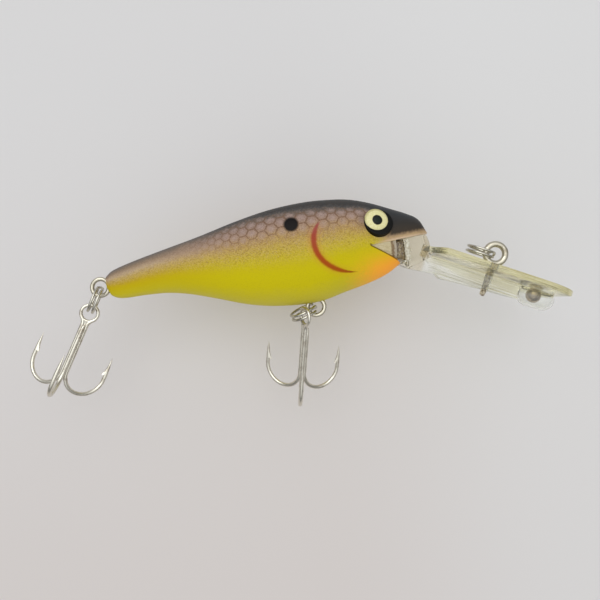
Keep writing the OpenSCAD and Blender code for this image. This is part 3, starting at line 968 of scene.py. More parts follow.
        # dark paint edge along the lower edge of the mouth's step, with painted shade along the recess
        below = (x - self.corner[0]) * self.jaw_normal[0] + (z - self.corner[1]) * self.jaw_normal[1]
        rim = abs(below) + grain * 0.08
        rim = rim.rise(0.34, 0.12) * x.rise(56.6, 57.0) * x.rise(63.0, 62.0)
        return s.blend(rim * 0.85, colour, tint(78, 56, 20))

    def _gill(self, skin: PaintedSkin, colour: Sock) -> Sock:
        """Gill arc on an ellipse, which tapers by its angle in degrees.

        Args:
            skin: what the layers share
            colour: layers below
        Returns:
            the colour with these layers
        """
        s, x, z, grain = skin.shader, skin.x, skin.z, skin.grain
        gx = (x - self.gill_at[0]) / self.gill_axes[0]
        gz = (z - self.gill_at[1]) / self.gill_axes[1]
        angle = gz.math("ARCTAN2", gx)
        sweep = (angle + (angle.math("LESS_THAN", 0.0)) * (2 * math.pi)) * (180 / math.pi)
        taper = sweep.rise(134.0, 170.0) * sweep.rise(268.0, 232.0)
        off = abs(length(gx, gz) - 1.0) * self.gill_mean + grain * 0.2
        ends = sweep.rise(138.0, 150.0) * sweep.rise(270.0, 258.0)
        core = (off / (taper * 0.43 + 0.12)).rise(1.45, 0.4) * ends
        halo = off.rise(1.9, 0.3) * taper
        gill = s.ramp(sweep / 360.0, (
            (0.38, 152, 84, 82), (0.46, 156, 52, 46), (0.56, 160, 40, 16),
            (0.68, 156, 50, 4), (0.74, 132, 66, 14),
        ))
        colour = s.blend(halo * 0.28, colour, tint(204, 128, 50))
        return s.blend(core * 0.88, colour, gill)

    def material(self) -> bpy.types.Material:
        """Builds the painted finish, one layer over another.

        Returns:
            the material
        """
        s = Shader("shad_paint")
        vector, x, _, z = s.place()
        flank = s.node("ShaderNodeAttribute", {"attribute_name": "flank"}, output="Vector")
        u, v, share = s.parts(flank)
        cloud = s.noise(vector, 5.0) - 0.5
        grain = s.noise(vector, 0.45, 3.0) - 0.5
        darker = x.rise(24.0, 62.0) * (0.02 + share.rise(0.70, 0.92) * 0.08)
        height = share + cloud * 0.08 + grain * 0.10 + darker
        skin = PaintedSkin(s, vector, x, z, share, height, cloud, grain)
        edge, centre = self.net(u + cloud * 0.014 + grain * 0.010, v + grain * 0.012)
        along = x.rise(14.0, 34.0) * x.rise(62.0, 57.0)
        netted = along * (share + grain * 0.1).rise(0.60, 0.76) * height.rise(0.97, 0.88)
        colour = self._ground(skin)
        line = (edge + grain * 0.10).rise(0.095, 0.02)
        heart = (centre + grain * 0.5).rise(0.46, 0.08)
        colour = s.blend(netted * heart * 0.5, colour, tint(174, 152, 146))
        colour = s.blend(netted * line * 0.74, colour, tint(114, 84, 64))
        for layer in (self._spatter, self._head, self._gill):
            colour = layer(skin, colour)
        from_spot = length(x - self.spot_at[0], z - self.spot_at[1]) + grain * 0.25
        spot = from_spot.rise(self.spot_r + 0.35, self.spot_r - 0.35)
        colour = s.blend(spot * 0.98, colour, tint(9, 10, 13))

        relief = netted * edge.rise(0.0, 0.18) * 0.6 + grain * 0.25
        surface = s.principled(
            Base_Color=colour, Roughness=0.48 + grain * 0.2, Specular_IOR_Level=0.07,
            Coat_Weight=0.03 + cloud * 0.04, Coat_Roughness=0.12, Normal=s.bump(relief, 0.02, 0.5),
        )
        return s.finish(surface)


@dataclass(frozen=True)
class MouthPlastic:
    """Unpainted plastic in the step of the mouth, with mould streaks that spread from the corner."""

    corner: Place = MOUTH_CORNER

    def material(self) -> bpy.types.Material:
        """Builds the bare plastic.

        Returns:
            the material
        """
        s = Shader("mouth_plastic")
        vector, x, _, z = s.place()
        angle = (z - self.corner[1]).math("ARCTAN2", x - self.corner[0])
        ray = s.node("ShaderNodeCombineXYZ", inputs={0: angle * 3.0, 1: x * 0.06, 2: 0.0})
        streak = s.node("ShaderNodeTexNoise", inputs={"Vector": ray, "Scale": 6.0, "Detail": 3.0})
        grain = s.noise(vector, 0.35, 3.0)
        torn = x + (grain - 0.5) * 1.6
        back = torn.rise(61.1, 61.4)
        colour = s.ramp(streak * 0.75 + grain * 0.25, (
            (0.32, 164, 146, 104), (0.48, 196, 180, 138), (0.66, 218, 206, 172),
        ))
        colour = s.blend(back * 0.85, colour, tint(112, 82, 46))
        colour = s.blend(back * torn.rise(61.7, 62.0) * 0.9, colour, tint(180, 168, 146))
        surface = s.principled(
            Base_Color=colour, Roughness=0.35 + grain * 0.2, Coat_Weight=0.1,
            Normal=s.bump(streak, 0.012, 0.5),
        )
        return s.finish(surface)


@dataclass(frozen=True)
class ClearPlastic:
    """Clear moulded plastic: refraction with a yellow cast that deepens along the path of the light.

    The plate is more yellow than the keel and the root, with olive flow lines along the lip.
    """

    name: str
    cast: Colour
    density: float
    ior: float = 1.5
    haze: float = 0.012
    clear: float = 0.9
    relief: float = 0.03
    streaks: float = 0.0
    shade: Colour = (0.86, 0.86, 0.82, 1.0)

    def material(self) -> bpy.types.Material:
        """Builds the clear plastic, which lets most of the lamps' light through to what lies behind.

        Returns:
            the material
        """
        s = Shader(self.name)
        vector, x, _, z = s.place()
        slope = math.radians(MEASURES.lip_slope)
        ahead, down = x - MEASURES.lip_start[0], z - MEASURES.lip_start[1]
        along = ahead * math.cos(slope) - down * math.sin(slope)
        above = ahead * math.sin(slope) + down * math.cos(slope)
        grid = s.node("ShaderNodeCombineXYZ", inputs={0: along * 0.035, 1: 0.0, 2: above * 2.6})
        flow = s.node("ShaderNodeTexNoise", inputs={"Vector": grid, "Scale": 1.3, "Detail": 1.5})
        cloud = s.noise(vector, 2.4, 2.0)
        plate = above.rise(-1.5, -1.25) * along.rise(0.2, 1.4)
        colour = s.blend(plate, tint(252, 253, 252), tint(244, 240, 208))
        colour = s.blend(plate * flow.rise(0.50, 0.60) * 0.7, colour, tint(172, 156, 84))
        past_root = along.rise(0.5, 2.5)
        keel = (1.0 - plate) * past_root
        colour = s.blend(keel * flow.rise(0.50, 0.58) * self.streaks, colour, tint(184, 180, 150))
        colour = s.blend(along.rise(0.5, -0.5), colour, tint(242, 235, 220))
        # olive rectangle near the root of the lip
        olive_patch = along.rise(-2.05, -1.9) * along.rise(-0.4, -0.55)
        olive_patch = olive_patch * above.rise(-2.55, -2.4) * above.rise(-0.3, -0.45)
        colour = s.blend(olive_patch * (0.6 + flow * 0.4), colour, tint(170, 148, 84))
        glass = s.principled(
            Base_Color=colour, Roughness=self.haze + flow * 0.03,
            IOR=self.ior, Transmission_Weight=self.clear,
            Normal=s.bump(flow * past_root + cloud * 0.1, self.relief, 0.5),
        )
        clear = s.node("ShaderNodeBsdfTransparent", inputs={"Color": self.shade})
        shadow = s.node("ShaderNodeLightPath", output="Is Shadow Ray")
        surface = s.node("ShaderNodeMixShader", inputs={0: shadow, 1: glass, 2: clear})
        depth = s.node("ShaderNodeVolumeAbsorption", inputs={"Color": self.cast, "Density": self.density})
        return s.finish(surface, depth)


@dataclass(frozen=True)
class BareMetal:
    """Plated or drawn metal with uneven sheen, darker stains and fine drawing marks."""

    name: str
    colour: Colour
    stain: Colour
    stained: float
    roughness: float
    marks: float
    patch: float = 1.6

    def material(self) -> bpy.types.Material:
        """Builds the metal.

        Returns:
            the material
        """
        s = Shader(self.name)
        vector = s.coordinates()
        patch = s.noise(vector, self.patch, 3.0)
        grain = s.noise(vector, 0.16, 2.0)
        dull = (patch + (grain - 0.5) * 0.5).rise(0.52, 0.70)
        colour = s.blend(dull * self.stained, self.colour, self.stain)
        surface = s.principled(
            Base_Color=colour, Metallic=1.0, Roughness=self.roughness + dull * 0.12 + (grain - 0.5) * 0.1,
            Normal=s.bump(grain * 0.6 + patch * 0.4, self.marks, 0.6),
        )
        return s.finish(surface)


@dataclass(frozen=True)
class CuredGlue:
    """Cured glue, cloudy and brown-grey, with specks of trapped air."""

    name: str
    dark: Colour
    pale: Colour

    def material(self) -> bpy.types.Material:
        """Builds the glue.

        Returns:
            the material
        """
        s = Shader(self.name)
        vector = s.coordinates()
        cloud = s.noise(vector, 0.7, 3.0)
        speck = s.noise(vector, 0.25, 2.0).rise(0.56, 0.68)
        colour = s.blend(cloud.rise(0.35, 0.65), self.dark, self.pale)
        colour = s.blend(speck * 0.6, colour, tint(236, 230, 210))
        surface = s.principled(
            Base_Color=colour, Roughness=0.22 + cloud * 0.2, Coat_Weight=0.4,
            Normal=s.bump(cloud * 0.6 + speck * 0.4, 0.12, 0.8),
        )
        return s.finish(surface)


@dataclass(frozen=True)
class EyeBlack:
    """Black moulded cup of an eye with a soft gloss and a dusty rim."""

    def material(self) -> bpy.types.Material:
        """Builds the black plastic.

        Returns:
            the material
        """
        s = Shader("eye_black")
        vector = s.coordinates()
        grain = s.noise(vector, 0.3, 3.0)
        colour = s.blend(grain.rise(0.45, 0.75) * 0.5, tint(8, 8, 7), tint(28, 26, 22))
        surface = s.principled(
            Base_Color=colour, Roughness=0.3 + grain * 0.15, Specular_IOR_Level=0.14, Coat_Weight=0.03,
            Normal=s.bump(grain, 0.02, 0.5),
        )
        return s.finish(surface)


@dataclass(frozen=True)
class EyeIris:
    """Cream lens with a round dark pupil, a thin line round it and a shaded margin, under a clear gloss; the
    pupil's greenish middle is dark print with a painted reflection.
    """

    centre: tuple[float, float, float]
    axis: tuple[float, float, float]
    name: str
    lens_r: float
    pupil_r: float = 0.94

    def material(self) -> bpy.types.Material:
        """Builds the printed lens from the distance to the lens's axis.

        Returns:
            the material
        """
        s = Shader(self.name)
        vector, x, y, z = s.place()
        offset = [value - start for value, start in zip((x, y, z), self.centre)]
        depth = sum(part * share for part, share in zip(offset, self.axis))
        square = sum(part * part for part in offset) - depth * depth
        radius = square.math("MAXIMUM", 0.0) ** 0.5
        grain = s.noise(vector, 0.25, 3.0)
        rim = radius + (grain - 0.5) * 0.12
        colour = s.blend(grain.rise(0.35, 0.7), tint(222, 214, 152), tint(236, 230, 182))
        colour = s.blend(rim.rise(self.lens_r - 0.45, self.lens_r) * 0.55, colour, tint(150, 138, 84))
        colour = s.blend(rim.rise(self.pupil_r + 0.22, self.pupil_r + 0.05), colour, tint(14, 14, 12))
        # greenish middle of the pupil: dark print with a painted reflection
        colour = s.blend(rim.rise(self.pupil_r - 0.1, self.pupil_r - 0.4) * 0.8, colour, tint(24, 34, 28))
        surface = s.principled(
            Base_Color=colour, Roughness=0.3 + (grain - 0.5) * 0.2, Specular_IOR_Level=0.12, Coat_Weight=0.12,
            Coat_Roughness=0.06,
        )
        return s.finish(surface)


@dataclass(frozen=True)
class Paper:
    """Pale matt sheet with painted light, darker towards the bottom and lighter towards the right, that shows
    only from its front, so that the lure can be seen from behind as well.
    """

    # painted light: the sheet's colour is darker low down and lighter to the right
    top: Colour = tint(219, 217, 216)
    low: Colour = tint(215, 208, 204)
    right: Colour = tint(224, 223, 222)

    def material(self) -> bpy.types.Material:
        """Builds the sheet's finish, with its painted light.

        Returns:
            the material
        """
        s = Shader("paper")
        across, _, height = s.parts(s.coordinates())
        # painted light: darker towards the bottom, lighter towards the right
        colour = s.blend(height.rise(-0.09, 0.07), self.low, self.top)
        colour = s.blend(across.rise(-0.05, 0.02) * 0.65, colour, self.right)
        sheet = s.node("ShaderNodeBsdfDiffuse", inputs={"Color": colour})
        gone = s.node("ShaderNodeBsdfTransparent")
        back = s.node("ShaderNodeNewGeometry", output="Backfacing")
        return s.finish(s.node("ShaderNodeMixShader", inputs={0: back, 1: sheet, 2: gone}))


NICKEL = BareMetal(
    "hook_nickel", tint(218, 213, 199), tint(124, 104, 80), stained=0.5, roughness=0.28, marks=0.012,
)
SPRING = BareMetal(
    "ring_steel", tint(196, 192, 180), tint(110, 96, 78), stained=0.45, roughness=0.24, marks=0.008,
)
DRAWN = BareMetal(
    "wire_steel", tint(196, 190, 172), tint(110, 92, 66), stained=0.5, roughness=0.28, marks=0.012,
)
BALL = BareMetal(
    "ball_steel", tint(172, 157, 136), tint(70, 55, 42), stained=0.7, roughness=0.24, marks=0.002, patch=1.5,
)
LEAD = BareMetal(
    "ballast_metal", tint(130, 132, 136), tint(84, 86, 90), stained=0.6, roughness=0.5, marks=0.03,
)
SEAM_GLUE = CuredGlue("cured_glue", tint(84, 62, 26), tint(134, 116, 78))
BEAD_GLUE = CuredGlue("glue_bead", tint(196, 188, 164), tint(228, 224, 206))
THREAD = CuredGlue("glued_thread", tint(92, 72, 48), tint(206, 194, 166))
LIP_CLEAR = ClearPlastic(
    "clear_lip", (0.95, 0.91, 0.42, 1.0), density=20.0, clear=0.94, relief=0.2, streaks=0.45,
)
BULB_CLEAR = ClearPlastic("clear_bulb", (0.93, 0.90, 0.50, 1.0), density=60.0, clear=0.98)


# Sub-assemblies

@dataclass
class Body:
    """The two painted halves, cut for the mouth and the eyes."""

    stations: int = 300
    rows: int = 110
    crease: float = 50.0
    mouth: tuple[Place, ...] = (MOUTH_TOP, (71.0, -0.15), (71.0, -9.0), (63.4, -5.7), (62.4, -4.8))
    step: tuple[Place, ...] = (MOUTH_CORNER, (62.4, -0.77), (62.9, -0.77), (62.9, -4.5), (62.2, -4.5))
    step_depth: float = 0.35
    step_span: tuple[float, float] = (52.0, 66.0)
    step_grid: tuple[int, int] = (90, 60)
    past_seam: float = -1.0
    inner: float = 1.2
    outer: float = 16.0
    bare_depth: float = 0.12
    scale_anchor: tuple[float, float, float] = (47.9, 0.0, 4.52)
    halves: dict[Flank, bpy.types.Object] = field(default_factory=dict)

    def build(self, eyes: Sequence["Eye"]) -> None:
        """Lofts both halves and carves the mouth, the shallow step beside it and the sockets of the eyes.

        Args:
            eyes: the eyes of both flanks
        """
        for eye in eyes:
            flank = eye.flank
            skin = FORM.half(self.stations, self.rows)
            half = flank.piece(f"{flank.side}_flank", skin, self.crease)
            carve(half, flank.piece("cutter", prism(np.array(self.mouth), self.past_seam, self.outer)))
            step = flank.piece("step", prism(np.array(self.step), self.inner, self.outer))
            carve(step, flank.piece("floor", FORM.half(*self.step_grid, self.step_depth, self.step_span)))
            carve(half, step)
            carve(half, add_piece("socket", eye.socket()))
            self._mark(half, flank)
            smooth(half, self.crease)
            self.halves[flank] = half

    def _mark(self, piece: bpy.types.Object, flank: Flank) -> None:
        """Writes the pattern coordinates to the points and the bare material to the faces below the skin.

        Args:
            piece: carved half
            flank: side that it is on
        """
        mesh = piece.data
        anchor = FORM.pattern(np.array([self.scale_anchor]))[0] * np.array([1, 1, 0])
        pattern = mesh.attributes.new("flank", "FLOAT_VECTOR", "POINT")
        pattern.data.foreach_set("vector", (FORM.pattern(vectors(mesh.vertices, "co")) - anchor).ravel())
        x, y, z = vectors(mesh.polygons, "center").T
        held = np.clip(x, 0.01, MEASURES.body_len - 0.01)
        top, low, _ = FORM.edges(held)
        depth = np.min([FORM.width(held, z) - flank.value * y, top - z, z - low], axis=0)
        mesh.polygons.foreach_set("material_index", (depth > self.bare_depth).astype(np.int32))

    def dress(self) -> None:
        """Paints the halves and hands them over."""
        paint, bare = ShadPaint().material(), MouthPlastic().material()
        for flank, piece in self.halves.items():
            coat(piece, paint, bare)
            settle(piece, "lure", [f"{flank.side}_body_shell"])


@dataclass
class Eye:
    """One eye: a black cup set in the flank and a domed lens, a little up and back in it."""

    flank: Flank
    back: float = 10.7
    height: float = 3.4
    yaw: float = 12.0
    pitch: float = 24.0
    cup_r: float = 3.05
    cup_depth: float = 1.0
    lens_r: float = 2.48
    lens_shift: tuple[float, float] = (-0.4, 0.5)
    lens_sunk: float = 0.2
    lens_rise: float = 0.65
    lens_tilt: float = 9.0
    pupil_shift: tuple[float, float] = (-0.42, 0.24)
    rim: float = 0.5
    clearance: float = 0.04
    cutter_top: float = 4.0
    edge: float = 0.16
    dome_rows: int = 24
    lens_sides: int = 72
    lens_crease: float = 50.0
    socket_sides: int = 96
    parts: dict[Slot, bpy.types.Object] = field(default_factory=dict)

    @property
    def at(self) -> np.ndarray:
        """Middle of the cup on the right flank's skin."""
        x = np.array([MEASURES.body_len - self.back])
        return np.array([x[0], -FORM.width(x, np.array([self.height]))[0], self.height])

    @property
    def axes(self) -> np.ndarray:
        """Rotation of the right eye; its third column points out of the lens."""
        return turn("Z", self.yaw) @ turn("X", 90 - self.pitch)

    def _sided(self, surface: Surface) -> Surface:
        """A surface of the eye's own frame, set in its flank."""
        placed = surface.placed(self.axes, self.at)
        return placed if self.flank is Flank.RIGHT else placed.mirrored()

    def socket(self) -> Surface:
        """Cutter of the cup's seat.

        Returns:
            the closed cylinder
        """
        reach = self.cup_r + self.clearance
        profile = np.array([[reach, -self.cup_depth], [reach, self.cutter_top]])
        return self._sided(revolved(profile, self.socket_sides))

    def build(self) -> None:
        """Makes the lens as a slice of a ball on a short rim and the cup from its solid."""
        side = self.flank.side
        ball = (self.lens_r**2 + self.lens_rise**2) / (2 * self.lens_rise)
        a = np.arcsin(self.lens_r / ball) * np.linspace(1, 0.01, self.dome_rows)
        dome = np.stack([ball * np.sin(a), self.rim + ball * np.cos(a) - ball + self.lens_rise], axis=-1)
        profile = np.concatenate([[[self.lens_r, 0.0]], dome])
        seat = np.array([*self.lens_shift, -self.lens_sunk])
        lens = revolved(profile, self.lens_sides).placed(turn("X", self.lens_tilt), seat)
        self.parts[Slot.IRIS] = add_piece(f"{side}_lens", self._sided(lens), self.lens_crease)
        self.parts[Slot.CUP] = refined(f"{side}_eye_cup", f"{side}_cup", self.edge)

    def dress(self) -> None:
        """Prints the iris and hands both parts over."""
        side = self.flank.side
        mirror = np.array([1, -self.flank.value, 1])
        centre = (self.at + self.axes @ np.array([*self.pupil_shift, 0.0])) * mirror
        axis = (self.axes @ turn("X", self.lens_tilt))[:, 2] * mirror
        iris = EyeIris(tuple(centre), tuple(axis), f"{side}_iris", self.lens_r)
        coat(self.parts[Slot.IRIS], iris.material())
        coat(self.parts[Slot.CUP], EyeBlack().material())
        settle(self.parts[Slot.IRIS], "lure", [f"{side}_eye_lens"])
        settle(self.parts[Slot.CUP], "lure", [f"{side}_eye_cup"])


@dataclass
class Lip:
    """Clear diving lip, the glue behind its root, and the rattle under its tip."""

    bead_x: float = 64.7
    bead_r: float = 0.36
    bead_span: tuple[float, float] = (-0.95, -5.35)
    bead_wander: float = 0.12
    bead_sunk: float = 0.05
    bead_rows: int = 90
    bead_ends: int = 6
    bead_sides: int = 20
    bubbles: int = 70
    bubble_shift: tuple[float, float] = (0.1, 0.38)
    bubble_r: tuple[float, float] = (0.08, 0.24)
    bubble_grid: tuple[int, int] = (8, 12)
    seed: int = 5
    cone_at: tuple[float, float] = (62.0, -2.2)
    cone_r: float = 5.0
    cone_taper: float = 0.122
    pieces: dict[str, bpy.types.Object] = field(default_factory=dict)

    def _root_y(self, x: np.ndarray, z: np.ndarray) -> np.ndarray:
        """Half width of the lip's root, a cone along the body, at places on the side view."""
        radius = self.cone_r - self.cone_taper * (x - self.cone_at[0])
        return np.sqrt(np.maximum(radius**2 - (z - self.cone_at[1]) ** 2, 0.5))

    def _bead(self) -> Surface:
        """Bead of glue down the left side of the root, a tube of uneven radius with bubbles along it.

        Returns:
            the bead and its bubbles
        """
        rows, end = self.bead_rows, self.bead_ends
        z = np.linspace(*self.bead_span, rows)
        wave = np.sin(2.9 * z) + 0.6 * np.sin(7.3 * z + 1.0) + 0.4 * np.sin(13.1 * z)
        x = self.bead_x + self.bead_wander * wave
        path = joined(x, self._root_y(x, z) - self.bead_sunk, z)
        ends = np.interp(np.arange(rows), [0, end, rows - 1 - end, rows - 1], [0.2, 1, 1, 0.2])
        radii = self.bead_r * (1 + 0.25 * np.sin(5.1 * z) + 0.2 * np.sin(11.7 * z + 0.5)) * ends
        bead = tube(path, radii, AHEAD, self.bead_sides)
        rng = np.random.default_rng(self.seed)
        at_x = self.bead_x + rng.normal(*self.bubble_shift, self.bubbles)
        at_z = rng.uniform(self.bead_span[1], self.bead_span[0], self.bubbles)
        size = rng.uniform(*self.bubble_r, self.bubbles)
        steps, sides = self.bubble_grid
        a = np.linspace(0.1, np.pi - 0.1, steps)
        ball = revolved(np.stack([np.sin(a), -np.cos(a)], axis=-1), sides)
        centres = joined(at_x, self._root_y(at_x, at_z), at_z)
        for centre, radius in zip(centres, size):
            bead = bead + ball.placed(np.eye(3) * radius, centre)
        return bead

    def build(self) -> None:
        """Refines the clear solids and adds the bead of bubbly glue at the back of the root."""
        solids = (
            ("diving_lip", "clear_lip", 0.18), ("rattle_cover", "clear_bulb", 0.08),
            ("rattle_ball", "steel_ball", 0.0), ("lip_adhesive", "glue_seam", 0.1),
        )
        for node, name, edge in solids:
            self.pieces[node] = refined(node, name, edge)
        bead = self._bead()
        self.pieces["bead"] = add_piece("glue_bead", bead + bead.mirrored())

    def dress(self) -> None:
        """Gives the pieces their finishes and hands them over."""
        looks = {
            "diving_lip": (LIP_CLEAR, "lure", Slot.LIP),
            "rattle_cover": (BULB_CLEAR, "lure", Slot.LIP),
            "rattle_ball": (BALL, "rattle_ball", Slot.BALL),
            "lip_adhesive": (SEAM_GLUE, "lure", Slot.GLUE),
            "bead": (BEAD_GLUE, "lure", Slot.GLUE),
        }
        for node, (finish, body, slot) in looks.items():
            coat(self.pieces[node], finish.material())
            settle(self.pieces[node], body, [node] if node in frame["nodes"] else [])


@dataclass
class LineTie:
    """Screw eye on the lip: a closed wire eye and a threaded shank that tapers to a rounded tip."""

    eye_r: float = 2.125
    wire: float = 1.35
    overlap: float = 0.1
    shank_len: float = 9.6
    shank_r: tuple[float, float, float] = (1.0, 0.62, 0.3)
    collar: float = 0.3
    tip: float = 0.35
    pitch: float = 0.95
    thread: float = 0.13
    thread_start: float = 0.9
    thread_fade: float = 0.8
    crest_power: float = 0.6
    rows: int = 360
    sides: int = 40
    eye_grid: tuple[int, int] = (120, 36)
    piece: bpy.types.Object | None = None

    def build(self) -> None:
        """Joins the eye and the shank, whose radius tapers and dips between the turns of a helical ridge."""
        z = np.linspace(-self.eye_r - self.overlap, -self.shank_len, self.rows)
        marks = [self.eye_r, self.eye_r + self.collar, self.shank_len - self.tip, self.shank_len]
        full, slim, end = self.shank_r
        taper = np.interp(-z, marks, [full, full, slim, end])
        ridge = 0.5 + 0.5 * np.cos(2 * np.pi * z[:, None] / self.pitch + around(self.sides)[None, :])
        cut = ease((-z - self.eye_r - self.thread_start) / self.thread_fade)[:, None]
        dip = -self.thread * cut * (1 - ridge**self.crest_power)
        shank = tube(joined(0, 0, z), taper, AHEAD, self.sides, dip)
        eye = hoop(self.eye_r, self.wire, *self.eye_grid)
        self.piece = add_piece("screw_eye", (eye + shank).placed(MEASURES.lip_turn, MEASURES.tie_eye))
        glued = np.arange(len(self.piece.data.polygons)) >= len(eye.faces)
        self.piece.data.polygons.foreach_set("material_index", glued.astype(np.int32))

    def dress(self) -> None:
        """Gives the eye its drawn steel and the shank its coat of glue."""
        coat(self.piece, DRAWN.material(), THREAD.material())
        settle(self.piece, "lure", ["line_tie"])


@dataclass
class Hanger:
    """Wire hanger: an eye outside, a neck and an inner loop that the halves hold."""

    name: str
    eye: np.ndarray
    towards: np.ndarray
    loop_r: float = 1.475
    neck_r: float = 0.8
    neck_rows: int = 24
    neck_sides: int = 28
    piece: bpy.types.Object | None = None

    def build(self) -> None:
        """Joins the two wire circles by the neck."""
        wire = MEASURES.hanger_wire
        reach = np.linalg.norm(self.towards)
        ahead = self.towards / reach
        along = np.linspace(MEASURES.hanger_r, reach - self.loop_r, self.neck_rows)
        neck = tube(self.eye + ahead * along[:, None], self.neck_r, LEFTWARD, self.neck_sides)
        eye = hoop(MEASURES.hanger_r, wire).placed(np.eye(3), self.eye)
        loop = hoop(self.loop_r, wire).placed(np.eye(3), self.eye + self.towards)
        self.piece = add_piece(f"{self.name}_wire", eye + loop + neck)

    def dress(self) -> None:
        """Gives the hanger its drawn steel."""
        coat(self.piece, DRAWN.material())
        settle(self.piece, "lure", [self.name])


@dataclass
class SplitRing:
    """Split ring: one wire of two turns that crosses from one turn to the other at the top."""

    name: str
    at: np.ndarray
    swing: float
    roll: float = 0.0
    pitch: float = 0.99
    crossing: float = 60.0
    rows: int = 361
    sides: int = 20
    end_rows: tuple[int, int, int] = (0, 2, 5)
    end_share: tuple[float, float, float] = (0.75, 0.95, 1.0)
    piece: bpy.types.Object | None = None

    def build(self) -> None:
        """Carries the wire round twice about the X axis; the side step is a smooth step over the crossing."""
        angle = np.linspace(self.crossing / 2, 720 - self.crossing / 2, self.rows)
        side = ease((angle - 360 + self.crossing / 2) / self.crossing) - 0.5
        a, ring_r = np.radians(angle), MEASURES.ring_r
        path = joined(side * self.pitch, ring_r * np.sin(a), ring_r * np.cos(a))
        row = np.arange(self.rows)
        from_end = np.minimum(row, row[::-1])
        radii = MEASURES.ring_wire / 2 * np.interp(from_end, self.end_rows, self.end_share)
        axes = turn("Y", self.swing) @ turn("Z", self.roll)
        coil = tube(path, radii, AHEAD, self.sides).placed(axes, self.at)
        self.piece = add_piece(f"{self.name}_coil", coil)

    def dress(self) -> None:
        """Gives the ring its spring steel."""
        coat(self.piece, SPRING.material())
        settle(self.piece, self.name, [self.name])


